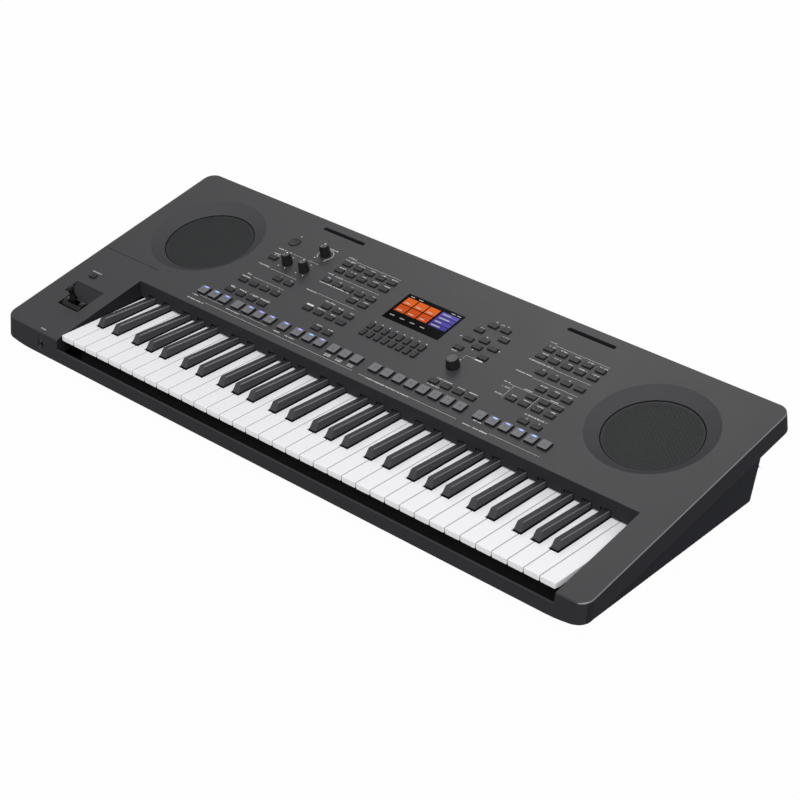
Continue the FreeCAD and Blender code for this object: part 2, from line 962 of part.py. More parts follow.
# Rotary controls
def knob(shares, radius, top_radius, height):
    points = [
        (0, board_top + switch_gap),
        (shaft_radius, board_top + switch_gap),
        (shaft_radius, knob_lift),
        (radius, knob_lift),
        (top_radius, height),
        (0, height),
    ]
    return turned(points, vec(column(shares[0]), row(shares[1]), 0), UP)


power_x = column(power_shares[0])
power_s = row(power_shares[1])
power_button = Part.makeCylinder(power_radius, power_height - cap_root, vec(power_x, power_s, cap_root), UP)
power_button = power_button.makeChamfer(
    cap_bevel, [edge for edge in power_button.Edges if edge.BoundBox.ZMin > power_height - overrun]
)


# Speakers
def speaker_parts(centre):
    """Grille, basket with its magnet, and cone of one speaker."""
    foot = panel_axis(centre, 0)
    grille = Part.makeCylinder(
        grille_radius - fit_gap, grille_thickness, panel_axis(centre, grille_bed), UP
    )
    rim = grille_radius + wall
    seat = dish_foot - basket_flange
    yoke_top = seat - basket_depth
    magnet_low = yoke_top - magnet_height
    basket = turned(
        [
            (grille_opening, dish_foot),
            (rim, dish_foot),
            (rim, seat),
            (grille_opening + basket_wall, seat),
            (grille_opening + basket_wall, dish_foot - basket_rim),
            (neck_radius + basket_wall, yoke_top),
            (magnet_radius, yoke_top),
            (magnet_radius, magnet_low),
            (0, magnet_low),
            (0, yoke_top + basket_wall),
            (neck_radius, yoke_top + basket_wall),
            (grille_opening, dish_foot - basket_rim),
        ],
        foot,
        UP,
    )
    cone_rim = grille_opening - cone_gap
    cone_top = dish_foot - cone_travel - cone_skin
    cone_low = cone_top - cone_depth
    cone = turned(
        [
            (0, cone_low),
            (cone_neck, cone_low),
            (cone_rim, cone_top - cone_skin),
            (cone_rim, cone_top),
            (cone_neck, cone_low + cone_skin),
            (0, cone_low + cone_skin),
        ],
        foot,
        UP,
    )
    return grille, basket, cone


# Joystick: a drum that rolls fore and aft carries a lever that tilts sideways
drum_s = joystick_low + drum_clearance + drum_radius
drum_h = -drum_axis_drop
bracket_out = joystick_width / 2 - fit_gap
drum_half = bracket_out - bracket_plate - fit_gap
bracket = box(
    joystick_x - bracket_out, joystick_x + bracket_out, joystick_low + fit_gap, ramp_start - fit_gap,
    -joystick_depth, -drum_axis_drop + axle_radius + bracket_plate,
)
bracket_space = box(
    joystick_x - bracket_out + bracket_plate, joystick_x + bracket_out - bracket_plate,
    joystick_low, ramp_start, -joystick_depth, overrun,
)
axle_hole = Part.makeCylinder(
    axle_radius + axle_gap, joystick_width, vec(joystick_left, drum_s, drum_h), ALONG
)
bracket_base = box(
    joystick_x - bracket_out, joystick_x + bracket_out, joystick_low + fit_gap, ramp_start - fit_gap,
    -joystick_depth, -joystick_depth + bracket_floor,
)
joystick_bracket = fuse([cut(bracket, [bracket_space, axle_hole]), bracket_base])
drum = Part.makeCylinder(drum_radius, 2 * drum_half, vec(joystick_x - drum_half, drum_s, drum_h), ALONG)
axle = Part.makeCylinder(axle_radius, 2 * bracket_out, vec(joystick_x - bracket_out, drum_s, drum_h), ALONG)
blade_half = blade_width / 2
drum_slot = box(
    joystick_x - lever_slot / 2, joystick_x + lever_slot / 2,
    drum_s - blade_half - blade_gap, drum_s + blade_half + blade_gap,
    drum_h - drum_radius, drum_h + drum_radius + overrun,
)
pin_half = blade_half + blade_gap + axle_radius
pin_hole = Part.makeCylinder(
    lever_pin_radius + axle_gap,
    2 * pin_half + 2 * axle_gap,
    vec(joystick_x, drum_s - pin_half - axle_gap, drum_h),
    BACK,
)
joystick_drum = fuse([drum, axle]).cut(Part.makeCompound([drum_slot, pin_hole]))
blade = box(
    joystick_x - blade_thickness / 2, joystick_x + blade_thickness / 2,
    drum_s - blade_half, drum_s + blade_half,
    drum_h - blade_foot, drum_h + lever_skirt_height,
)
pin = Part.makeCylinder(lever_pin_radius, 2 * pin_half, vec(joystick_x, drum_s - pin_half, drum_h), BACK)
lever_waist_height = (lever_skirt_height + lever_length) / 2
stick = turned(
    [
        (0, lever_skirt_height),
        (lever_skirt_radius, lever_skirt_height),
        (lever_waist_radius, lever_waist_height),
        (lever_tip_radius, lever_length - lever_tip_radius),
        (lever_waist_radius, lever_length),
        (0, lever_length),
    ],
    vec(joystick_x, drum_s, drum_h),
    UP,
)
joystick_lever = fuse([blade, pin, stick])

# Sockets
headphone_front = headphone_face + headphone_sink


def headphone_round(radius, front, back):
    return Part.makeCylinder(radius, back - front, vec(headphone_x, front, headphone_height), BACK)


headphone_back = headphone_front + jack_length
headphone_jack = fuse([headphone_plate, headphone_round(headphone_recess, headphone_front, headphone_back)])
headphone_jack = cut(
    headphone_jack,
    [
        headphone_round(headphone_recess, headphone_front - jack_length, headphone_front),
        headphone_round(plug_radius, headphone_front, headphone_back - wall),
    ],
)


def phone_jack(x):
    """A jack on its own face plate; the plates stand side by side in a notch of the rear wall."""
    plate = box(x - jack_half, x + jack_half, rear_inner, tub_rear, foot_height, jack_plate_top)
    block = rear_block(x, jack_block, jack_block, rear_inner - jack_length, rear_inner)
    return fuse([plate, block]).cut(rear_round(x, plug_radius, rear_inner - jack_length + wall, tub_rear))


def usb_socket(x, outer, inner):
    shell = rear_block(x, outer[0], outer[1], tub_rear - usb_length, tub_rear)
    return shell.cut(rear_block(x, inner[0], inner[1], tub_rear - usb_length + usb_shell, tub_rear))


inlet = rear_round(inlet_x, inlet_radius, tub_rear - usb_length, tub_rear)
inlet = inlet.cut(rear_round(inlet_x, inlet_bore, tub_rear - usb_length + wall, tub_rear))
inlet_core = rear_round(inlet_x, inlet_pin, tub_rear - usb_length, tub_rear - wall)
dc_inlet = fuse([inlet, inlet_core])

# Boards, display, feet and screws
panel_board = box(board_left, board_right, board_front, board_back, board_top - board_thickness, board_top)
main_board_low = foot_height + wall + main_post_height
main_board = box(
    -main_board_width / 2,
    main_board_width / 2,
    main_board_y - main_board_depth / 2,
    main_board_y + main_board_depth / 2,
    main_board_low,
    main_board_low + board_thickness,
)
foot_span_x = case_right - side_overhang - foot_inset
foot_front = y_front + belly_setback + foot_radius + wall
foot_back = tub_rear - foot_inset
rubber_feet = [
    Part.makeCylinder(
        foot_radius,
        foot_height,
        vec(
            -foot_span_x + 2 * foot_span_x * index / (foot_columns - 1),
            foot_front + (foot_back - foot_front) * line / (foot_rows - 1),
            0,
        ),
        UP,
    )
    for line in range(foot_rows)
    for index in range(foot_columns)
]


def case_screw(place):
    shaft = Part.makeCylinder(screw_radius, screw_length, vec(place[0], place[1], -slab_thickness), UP)
    head = Part.makeCylinder(
        screw_head_radius, screw_head_height, vec(place[0], place[1], -slab_thickness - screw_head_height), UP
    )
    return fuse([shaft, head])


os.makedirs("parts", exist_ok=True)
save("top_case", [top_case])
save("bottom_case", [bottom_case])
for name, shape in combs.items():
    save(name, [shape])
save("key_frame", [key_frame])
save("key_felt", [key_felt])
save("key_contact_board", [contact_board])
for side, centre in speakers.items():
    grille, basket, cone = speaker_parts(centre)
    save(f"{side}_speaker_grille", [on_panel(grille)])
    save(f"{side}_speaker_basket", [on_panel(basket)])
    save(f"{side}_speaker_cone", [on_panel(cone)])
for name, caps in cap_sets.items():
    save(name, [on_panel(shape) for shape in caps])
save("power_button", [on_panel(power_button)])
save("control_knob_left", [on_panel(knob(knob_1_shares, knob_radius, knob_top_radius, knob_height))])
save("control_knob_right", [on_panel(knob(knob_2_shares, knob_radius, knob_top_radius, knob_height))])
save("volume_knob", [on_panel(knob(volume_shares, knob_radius, knob_top_radius, knob_height))])
save("data_dial", [on_panel(knob(dial_shares, dial_radius, dial_top_radius, dial_height))])
save("joystick_bracket", [on_panel(joystick_bracket)])
save("joystick_drum", [on_panel(joystick_drum)])
save("joystick_lever", [on_panel(joystick_lever)])
save("display_window", [on_panel(display_block(0, window_bottom, window_top))])
save("display_module", [on_panel(display_block(module_margin, board_top, -wall))])
save("panel_board", [on_panel(panel_board)])
save("main_board", [main_board])
save("headphone_jack", [headphone_jack])
save("rear_phone_jacks", [phone_jack(x) for x in jack_xs])
save("usb_host_socket", [usb_socket(usb_a_x, usb_a_outer, (usb_a_width, usb_a_height))])
save("usb_device_socket", [usb_socket(usb_b_x, usb_b_outer, (usb_b_width, usb_b_height))])
save("dc_inlet", [dc_inlet])
save("rubber_feet", rubber_feet)
save("case_screws", [on_panel(case_screw(place)) for place in screw_places])
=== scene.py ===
# %% [markdown]
# An arranger keyboard, dressed piece by piece. The CAD model already holds every solid in its place and every moving
# piece on its joint, so this lesson only adds what the eye wants up close: rounded edges, caps with a dish, a
# perforated grille, printed marks, a lit display and the finishes. Everything is in metres, in the CAD model's frame.

# %% Load the frame
import json
import math

import bmesh
import bpy
from mathutils import Color, Matrix, Vector

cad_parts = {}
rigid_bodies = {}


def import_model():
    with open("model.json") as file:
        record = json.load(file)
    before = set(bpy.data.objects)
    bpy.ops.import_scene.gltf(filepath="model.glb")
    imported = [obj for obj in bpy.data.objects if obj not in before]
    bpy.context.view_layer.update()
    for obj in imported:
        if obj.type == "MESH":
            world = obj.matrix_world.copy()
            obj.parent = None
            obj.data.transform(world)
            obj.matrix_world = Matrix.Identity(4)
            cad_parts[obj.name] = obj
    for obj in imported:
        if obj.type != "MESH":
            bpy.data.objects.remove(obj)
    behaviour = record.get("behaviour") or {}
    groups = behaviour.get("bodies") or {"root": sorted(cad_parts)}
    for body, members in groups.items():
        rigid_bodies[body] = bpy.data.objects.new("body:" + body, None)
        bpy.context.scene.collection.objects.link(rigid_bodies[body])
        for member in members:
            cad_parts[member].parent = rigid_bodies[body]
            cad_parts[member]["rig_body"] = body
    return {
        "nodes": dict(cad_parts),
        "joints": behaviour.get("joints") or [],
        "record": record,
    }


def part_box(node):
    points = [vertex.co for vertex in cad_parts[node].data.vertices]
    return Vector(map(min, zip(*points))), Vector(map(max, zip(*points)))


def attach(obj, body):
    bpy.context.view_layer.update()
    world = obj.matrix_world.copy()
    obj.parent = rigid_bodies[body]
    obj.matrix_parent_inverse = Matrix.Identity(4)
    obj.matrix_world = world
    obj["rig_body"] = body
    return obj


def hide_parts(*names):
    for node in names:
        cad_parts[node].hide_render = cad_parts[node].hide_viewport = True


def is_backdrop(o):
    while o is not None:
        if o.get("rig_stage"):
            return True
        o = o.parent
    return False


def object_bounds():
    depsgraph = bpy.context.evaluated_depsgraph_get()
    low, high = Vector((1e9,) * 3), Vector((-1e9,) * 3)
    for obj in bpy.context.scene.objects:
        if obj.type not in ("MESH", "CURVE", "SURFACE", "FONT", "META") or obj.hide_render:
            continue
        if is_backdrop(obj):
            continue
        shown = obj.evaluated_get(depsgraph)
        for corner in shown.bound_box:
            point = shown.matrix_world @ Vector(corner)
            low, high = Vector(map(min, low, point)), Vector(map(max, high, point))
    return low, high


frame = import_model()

cad_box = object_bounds()
nodes = frame["nodes"]
joints = {joint["name"]: joint for joint in frame["joints"]}
mm = 0.001
print("nodes:", len(nodes), "joints:", len(joints))

# %% [markdown]
# The camera stands to the right of the keyboard and well above it, with a long lens. Its place was fitted to the
# picture from the corners of the case and the ends of the keys, so it is written down as a position, a yaw, a pitch
# and a small roll. There is no shift and no depth of field, so other views can move it freely.

# %% Camera
focal_length = 96.02
sensor_width = 36.0
camera_place = Vector((1.63115, -1.72045, 1.42378))
camera_angles = (42.622, 30.426, -0.103)
camera = bpy.data.objects.new("camera", bpy.data.cameras.new("camera"))
bpy.context.scene.collection.objects.link(camera)
bpy.context.scene.camera = camera
camera.data.lens = focal_length
camera.data.sensor_width = sensor_width
yaw, pitch, roll = (math.radians(angle) for angle in camera_angles)
camera_turn = Matrix.Rotation(yaw, 4, "Z") @ Matrix.Rotation(math.pi / 2 - pitch, 4, "X")
camera.matrix_world = Matrix.Translation(camera_place) @ camera_turn @ Matrix.Rotation(roll, 4, "Z")
print("camera at", tuple(round(value, 3) for value in camera_place))

# %% [markdown]
# Shader maths reads best as Python. A Term wraps one socket and turns +, -, *, / and comparisons into Math nodes. A
# Tree adds any other node by its type, with the settings first and then the values or links of its sockets. The same
# two classes serve materials, the world and Geometry Nodes.

# %% Terms and trees
class Term:
    """A node's output socket that can be used in arithmetic."""

    def __init__(self, tree, socket):
        self.tree = tree
        self.socket = socket

    def maths(self, operation, *values):
        """A Math node on any values; self only gives the tree."""
        return self.tree.node("ShaderNodeMath", {"operation": operation}, dict(enumerate(values)))

    def output(self, name):
        """Another output of the same node."""
        return Term(self.tree, self.socket.node.outputs[name])

    def __add__(self, other):
        return self.maths("ADD", self, other)

    def __sub__(self, other):
        return self.maths("SUBTRACT", self, other)

    def __rsub__(self, other):
        return self.maths("SUBTRACT", other, self)

    def __mul__(self, other):
        return self.maths("MULTIPLY", self, other)

    def __truediv__(self, other):
        return self.maths("DIVIDE", self, other)

    def __rtruediv__(self, other):
        return self.maths("DIVIDE", other, self)

    def __gt__(self, other):
        return self.maths("GREATER_THAN", self, other)

    def __lt__(self, other):
        return self.maths("LESS_THAN", self, other)

    __radd__ = __add__
    __rmul__ = __mul__


class Tree:
    """A node tree that is built from nothing."""

    def __init__(self, node_tree):
        self.nodes = node_tree.nodes
        self.links = node_tree.links
        self.nodes.clear()

    def node(self, kind, settings=None, inputs=None, output=0):
        """Adds a node and returns one of its outputs."""
        made = self.nodes.new(kind)
        for name, value in (settings or {}).items():
            if name == "stops":
                self.set_stops(made.color_ramp, value)
            else:
                setattr(made, name, value)
        for name, value in (inputs or {}).items():
            if isinstance(value, Term):
                self.links.new(value.socket, made.inputs[name])
            else:
                made.inputs[name].default_value = value
        return Term(self, made.outputs[output]) if made.outputs else None

    def set_stops(self, ramp, stops):
        """Sets the places and colours of a colour ramp."""
        while len(ramp.elements) < len(stops):
            ramp.elements.new(1.0)
        for element, (position, shade) in zip(ramp.elements, stops):
            element.position = position
            element.color = shade

    def mix(self, factor, first, second):
        """Mixes two colours by a factor."""
        return self.node("ShaderNodeMix", {"data_type": "RGBA"}, {0: factor, 6: first, 7: second}, 2)


print("shader terms ready")

# %% [markdown]
# The stage is a pale floor and an even white surround, as for a catalogue picture. What the camera and the gloss see
# is white, and the light that falls on the object is set apart from that: a low surround, a wide sun from the front
# right, and a card behind the left end that only the gloss of the panel sees. The floor keeps a part of its own
# shading, so the object's shadow stays on it.

# %% World and floor
white = (1.0, 1.0, 1.0, 1.0)
paper_grey = (0.55, 0.55, 0.55, 1.0)
surround_level = 0.4
floor_share_white = 0.98
floor_half = 12.0


def seen_directly(tree):
    """One where a ray comes straight from the camera, a mirror or a glass, and zero for light that is falling."""
    rays = tree.node("ShaderNodeLightPath", output="Is Camera Ray")
    shiny = rays.maths("MAXIMUM", rays, rays.output("Is Glossy Ray"))
    return shiny.maths("MAXIMUM", shiny, rays.output("Is Transmission Ray"))


world = bpy.data.worlds.new("studio")
world.use_nodes = True
bpy.context.scene.world = world
sky = Tree(world.node_tree)
sky_strength = surround_level + (1.0 - surround_level) * seen_directly(sky)
sky_light = sky.node("ShaderNodeBackground", {}, {"Color": white, "Strength": sky_strength})
sky.node("ShaderNodeOutputWorld", {}, {"Surface": sky_light})

floor_mesh = bpy.data.meshes.new("floor")
floor_corners = [(x * floor_half, y * floor_half) for x, y in ((-1, -1), (1, -1), (1, 1), (-1, 1))]
floor_mesh.from_pydata([(*corner, cad_box[0].z) for corner in floor_corners], [], [(0, 1, 2, 3)])
floor = bpy.data.objects.new("floor", floor_mesh)
bpy.context.scene.collection.objects.link(floor)
floor_finish = bpy.data.materials.new("floor_paper")
floor_finish.use_nodes = True
paper = Tree(floor_finish.node_tree)
paper_matt = paper.node("ShaderNodeBsdfDiffuse", {}, {"Color": paper_grey})
paper_white = paper.node("ShaderNodeEmission", {}, {"Color": white, "Strength": 1.0})
paper_factor = floor_share_white * seen_directly(paper)
paper_seen = paper.node("ShaderNodeMixShader", {}, {0: paper_factor, 1: paper_matt, 2: paper_white})
paper.node("ShaderNodeOutputMaterial", {}, {"Surface": paper_seen})
floor_mesh.materials.append(floor_finish)
floor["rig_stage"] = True
print("floor at", round(cad_box[0].z, 5))

# %% Lamps
sun_strength = 2.05
sun_spread = math.radians(40.0)
sun_direction = Vector((-0.42, 0.5, -0.8))
card_power = 25.0
card_width = 1.0
card_place = Vector((-0.9, 1.3, 1.8))


def hang_lamp(name, kind, strength, place, direction):
    """A lamp at a place that shines along a direction."""
    lamp = bpy.data.lights.new(name, kind)
    lamp.energy = strength
    holder = bpy.data.objects.new(name, lamp)
    bpy.context.scene.collection.objects.link(holder)
    turn = direction.to_track_quat("-Z", "Y").to_matrix().to_4x4()
    holder.matrix_world = Matrix.Translation(place) @ turn
    return holder


main_light = hang_lamp("main_light", "SUN", sun_strength, Vector(), sun_direction)
main_light.data.angle = sun_spread
to_keyboard = (cad_box[0] + cad_box[1]) / 2 - card_place
gloss_card = hang_lamp("gloss_card", "AREA", card_power, card_place, to_keyboard)
gloss_card.data.size = card_width
gloss_card.visible_diffuse = False
bpy.context.scene.view_settings.view_transform = "Standard"
print("lamps:", len(bpy.data.lights))

# %% [markdown]
# Nearly every control sits on one sloping panel. The panel gets a grid of its own: x along the keys, s uphill from
# the front edge, and h out of the panel. The axis of the volume knob is the panel's normal, so the grid comes from
# the frame. Pieces are drawn on that grid and then carried to their place by one matrix.

# %% The panel's grid
volume_knob_s = 333.5 * mm
along = Vector((1.0, 0.0, 0.0))
panel_up = Vector(joints["volume_knob_turn"]["axis"])
uphill = panel_up.cross(along)
panel_start = Vector(joints["volume_knob_turn"]["pos_m"]) - volume_knob_s * uphill
panel_start.x = 0.0
panel = Matrix((along, uphill, panel_up)).transposed().to_4x4()
panel.translation = panel_start
to_panel = panel.inverted()
print("panel slope:", round(math.degrees(math.asin(uphill.z)), 2))

# %% [markdown]
# A few helpers turn shapes into pieces. A CAD mesh arrives as loose triangles, so a copy of it is welded and its flat
# faces are joined before anything else. Rounding is a Bevel modifier with weighted normals: the flat faces stay flat
# and the edges catch the light. Modifiers are always baked, so a finished piece is a plain mesh at the origin.

# %% Mesh helpers
weld = 0.004 * mm
flat_angle = math.radians(1.0)
sharp_angle = math.radians(20.0)


def add_piece(name, shape, place=None):
    """A new object from a bmesh, carried to its place."""
    mesh = bpy.data.meshes.new(name)
    shape.to_mesh(mesh)
    shape.free()
    if "custom_normal" in mesh.attributes:
        mesh.attributes.remove(mesh.attributes["custom_normal"])
    if place is not None:
        mesh.transform(place)
    piece = bpy.data.objects.new(name, mesh)
    bpy.context.scene.collection.objects.link(piece)
    return piece


def clean(shape):
    """Welds a shape and joins its flat faces."""
    bmesh.ops.remove_doubles(shape, verts=shape.verts, dist=weld)
    bmesh.ops.dissolve_limit(shape, angle_limit=flat_angle, verts=shape.verts, edges=shape.edges)
    return shape


def merged(*names):
    """A welded copy of one or more CAD nodes."""
    shape = bmesh.new()
    for name in names:
        shape.from_mesh(nodes[name].data)
    bmesh.ops.remove_doubles(shape, verts=shape.verts, dist=weld)
    return shape


def slice_shape(shape, point, normal):
    """Adds edges where a plane meets the shape."""
    everything = shape.verts[:] + shape.edges[:] + shape.faces[:]
    bmesh.ops.bisect_plane(shape, geom=everything, plane_co=point, plane_no=normal)


def bake(piece):
    """Turns what the modifiers make into the piece's own plain mesh."""
    graph = bpy.context.evaluated_depsgraph_get()
    mesh = bpy.data.meshes.new_from_object(piece.evaluated_get(graph), depsgraph=graph)
    piece.modifiers.clear()
    piece.data = mesh


def soften(piece, width, segments=2):
    """Rounds the sharp edges and keeps the flat faces flat."""
    piece.data.shade_smooth()
    rounding = piece.modifiers.new("rounding", "BEVEL")
    rounding.width = width
    rounding.segments = segments
    rounding.limit_method = "ANGLE"
    rounding.angle_limit = sharp_angle
    rounding.use_clamp_overlap = False
    piece.modifiers.new("flatness", "WEIGHTED_NORMAL")
    bake(piece)


def rounded(name, node, width, segments=2):
    """A new object from one CAD node, with its sharp edges rounded."""
    piece = add_piece(name, clean(merged(node)))
    soften(piece, width, segments)
    return piece


def smooth(piece):
    """Smooth shading that breaks at sharp edges."""
    piece.data.shade_smooth()
    piece.data.set_sharp_from_angle(angle=sharp_angle)


def settle(piece, body, slot, finish, *replaced):
    """Gives a piece its finish and its body, and hides the CAD nodes that it stands for; the slot is not used."""
    if finish is not None:
        piece.data.materials.clear()
        piece.data.materials.append(finish)
    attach(piece, body)
    if replaced:
        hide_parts(*replaced)


def paint(piece, finish, chosen):
    """Gives one more finish to the faces for which a test holds."""
    piece.data.materials.append(finish)
    for face in piece.data.polygons:
        if chosen(face):
            face.material_index = len(piece.data.materials) - 1


print("mesh helpers ready")

# %% Solids of a node on the panel's grid
def islands(shape):
    """The vertices of each separate solid."""
    waiting = set(shape.verts)
    found = []
    while waiting:
        edge_of_search = [waiting.pop()]
        solid = list(edge_of_search)
        while edge_of_search:
            vert = edge_of_search.pop()
            for edge in vert.link_edges:
                other = edge.other_vert(vert)
                if other in waiting:
                    waiting.remove(other)
                    edge_of_search.append(other)
                    solid.append(other)
        found.append(solid)
    return found


def solids(node, grid=panel):
    """The lowest and highest corner of each solid on a grid, from front to rear and left to right."""
    shape = merged(node)
    shape.transform(grid.inverted())
    boxes = []
    for solid in islands(shape):
        low = Vector([min(vert.co[axis] for vert in solid) for axis in range(3)])
        high = Vector([max(vert.co[axis] for vert in solid) for axis in range(3)])
        boxes.append((low, high))
    shape.free()
    return sorted(boxes, key=lambda box: (round(box[0].y / mm), box[0].x))


button_nodes = [name for name in nodes if "_buttons" in name or name == "joystick_button"]
pad_nodes = [name for name in nodes if "_pads" in name]
button_boxes = {name: solids(name) for name in button_nodes}
pad_boxes = {name: solids(name) for name in pad_nodes}
print("buttons:", sum(map(len, button_boxes.values())), "pads:", sum(map(len, pad_boxes.values())))

# %% [markdown]
# The case, the keys and the caps are injection mouldings. Their gloss is broken by a fine grain that the mould gives
# them, and their colour is never quite even. One recipe serves them all: a broad noise tints the colour a little, a
# fine noise bends the normal and varies the roughness. Sizes are real, so the grain stays right at any distance.

# %% Moulded plastic
def tint(code):
    """A linear colour from a plain hex code."""
    parts = [int(code[place:place + 2], 16) / 255 for place in (0, 2, 4)]
    return (*Color(parts).from_srgb_to_scene_linear(), 1.0)


def shaded(shade, share):
    """A colour made darker or lighter by a share of itself."""
    return (*(min(1.0, part * share) for part in shade[:3]), 1.0)


def new_finish(name):
    """A new material with an empty tree."""
    material = bpy.data.materials.new(name)
    material.use_nodes = True
    return material, Tree(material.node_tree)


def surface(tree, inputs):
    """Ends a material's tree with the main shader."""
    shader = tree.node("ShaderNodeBsdfPrincipled", {}, inputs)
    tree.node("ShaderNodeOutputMaterial", {}, {"Surface": shader})


def noise(tree, scale, detail, **more):
    """A noise that stays with the piece; the scale is in turns to the metre."""
    place = tree.node("ShaderNodeTexCoord", output="Object")
    inputs = {"Vector": place, "Scale": scale, "Detail": detail, **more}
    return tree.node("ShaderNodeTexNoise", {}, inputs, "Fac")


def bumped(tree, height, strength, depth):
    """A normal that a height bends."""
    inputs = {"Strength": strength, "Distance": depth, "Height": height}
    return tree.node("ShaderNodeBump", {}, inputs, "Normal")


cloud_scale = 16.0
grain_depth = 1 / 8
roughness_by_grain = 0.12
roughness_by_cloud = 0.08


def moulded(name, code, roughness, gloss=0.3, grain=0.6, relief=0.25, cloud=0.05):
    """Plastic with a grain of the given size in millimetres and a faint cloud in its colour."""
    material, tree = new_finish(name)
    fine = noise(tree, 1 / (grain * mm), detail=2.0)
    broad = noise(tree, cloud_scale, detail=4.0)
    surface(tree, {
        "Base Color": tree.mix(broad, shaded(tint(code), 1 - cloud), shaded(tint(code), 1 + cloud)),
        "Roughness": roughness + roughness_by_grain * (fine - 0.5) + roughness_by_cloud * (broad - 0.5),
        "Normal": bumped(tree, fine, relief, grain * mm * grain_depth),
        "Specular IOR Level": gloss,
    })
    return material


case_charcoal = moulded("case_charcoal", "38383a", roughness=0.55, gloss=0.16, relief=0.35)
# Lit and shaded copies of the case's charcoal: walls, front and lower case painted darker as shade, back and dishes
# painted lighter as light.
shaded_side_charcoal = moulded("shaded_side_charcoal", "262629", roughness=0.55, gloss=0.03, relief=0.35)
shaded_front_charcoal = moulded("shaded_front_charcoal", "313134", roughness=0.55, gloss=0.03, relief=0.35)
lit_back_charcoal = moulded("lit_back_charcoal", "464648", roughness=0.6, gloss=0.02, relief=0.35)
lit_dish_charcoal = moulded("lit_dish_charcoal", "4c4c4f", roughness=0.6, gloss=0.0, relief=0.35)
# A painted highlight for the panel's right edge.
edge_highlight_charcoal = moulded("edge_highlight_charcoal", "6c6c6e", roughness=0.35, gloss=0.5, relief=0.1)
shaded_lower_charcoal = moulded("shaded_lower_charcoal", "212228", roughness=0.6, gloss=0.02, relief=0.35)
bed_black = moulded("bed_black", "303031", roughness=0.6, gloss=0.02)
# Painted shade for the joystick's well and its ramp.
well_shade_black = moulded("well_shade_black", "202021", roughness=0.55, gloss=0.06)
ramp_shade_charcoal = moulded("ramp_shade_charcoal", "353537", roughness=0.55, gloss=0.03)
# A painted shadow, black, for the grille's rim and the foot of the black keys.
gap_shadow_black = moulded("gap_shadow_black", "101011", roughness=0.7, gloss=0.02)
white_acrylic = moulded("white_acrylic", "f3f2f5", roughness=0.3, gloss=0.08, grain=1.2, relief=0.05, cloud=0.01)
# A painted shade for the white keys' right flanks, between the keys.
key_side_shade = moulded("key_side_shade", "bbbabd", roughness=0.4, gloss=0.05, grain=1.2, relief=0.05, cloud=0.01)
black_satin = moulded("black_satin", "404043", roughness=0.4, gloss=0.15, grain=0.5, relief=0.2)
# Painted shade on the black keys' crowns and a painted highlight on their right ridges.
black_crown_shade = moulded("black_crown_shade", "2c2c2e", roughness=0.5, gloss=0.08, grain=0.5, relief=0.25)
black_ridge_highlight = moulded("black_ridge_highlight", "6a6a6d", roughness=0.35, gloss=0.2, grain=0.5, relief=0.1)
button_grey = moulded("button_grey", "2c2c2e", roughness=0.5, gloss=0.1, relief=0.2)
pad_grey = moulded("pad_grey", "6e6e72", roughness=0.5, gloss=0.12, relief=0.2)
# A painted shade for the sides of the pads.
pad_side_shade = moulded("pad_side_shade", "242426", roughness=0.5, gloss=0.1, relief=0.2)
knob_black = moulded("knob_black", "1f1f20", roughness=0.45, gloss=0.15, relief=0.2)
knob_top = moulded("knob_top", "444446", roughness=0.4, gloss=0.2, relief=0.1)
dial_grey = moulded("dial_grey", "4a4a4c", roughness=0.45, gloss=0.15, relief=0.15)
joystick_black = moulded("joystick_black", "121213", roughness=0.25, gloss=0.2, relief=0.05)
socket_black = moulded("socket_black", "101011", roughness=0.4, gloss=0.35, relief=0.1)
pointer_white = moulded("pointer_white", "f0f0f0", roughness=0.5, relief=0.1, cloud=0.02)
legend_ink = moulded("legend_ink", "d6d6d7", roughness=0.6, gloss=0.1, relief=0.1, cloud=0.08)
mark_ink = moulded("mark_ink", "2b2b30", roughness=0.6, gloss=0.2, relief=0.1, cloud=0.08)
rubber = moulded("rubber", "161616", roughness=0.8, gloss=0.2, grain=0.4, relief=0.4)
print("plastics:", len(bpy.data.materials))

# %% [markdown]
# The rest of the finishes are for what shows through the grilles, at the back and underneath: pulp cones, steel
# baskets, boards, felt, plated sockets. They follow the same idea, with the pattern that each real one has.

# %% Steel, paper, boards and felt
brush_scale = (60.0, 2400.0, 2400.0)
brush_depth = 0.02 * mm
track_scale = 160.0
track_share = 0.35
track_depth = 0.03 * mm


def metal(name, code, roughness, brushed):
    """Plated or painted steel with fine lines along x."""
    material, tree = new_finish(name)
    place = tree.node("ShaderNodeTexCoord", output="Object")
    stretched = tree.node("ShaderNodeMapping", {}, {"Vector": place, "Scale": brush_scale})
    lines = tree.node("ShaderNodeTexNoise", {}, {"Vector": stretched, "Scale": 1.0, "Detail": 3.0}, "Fac")
    surface(tree, {
        "Base Color": tree.mix(lines, shaded(tint(code), 0.85), shaded(tint(code), 1.1)),
        "Roughness": roughness + brushed * (lines - 0.5),
        "Metallic": 1.0,
        "Normal": bumped(tree, lines, strength=0.1, depth=brush_depth),
    })
    return material


def fibrous(name, code, fibre, depth):
    """Felt or paper pulp: short fibres, no gloss; fibre and depth are in millimetres."""
    material, tree = new_finish(name)
    strands = noise(tree, 1 / (fibre * mm), detail=5.0, Distortion=1.5)
    surface(tree, {
        "Base Color": tree.mix(strands, shaded(tint(code), 0.6), shaded(tint(code), 1.3)),
        "Roughness": 0.85 + 0.1 * (strands - 0.5),
        "Specular IOR Level": 0.1,
        "Normal": bumped(tree, strands, strength=0.6, depth=depth * mm),
    })
    return material


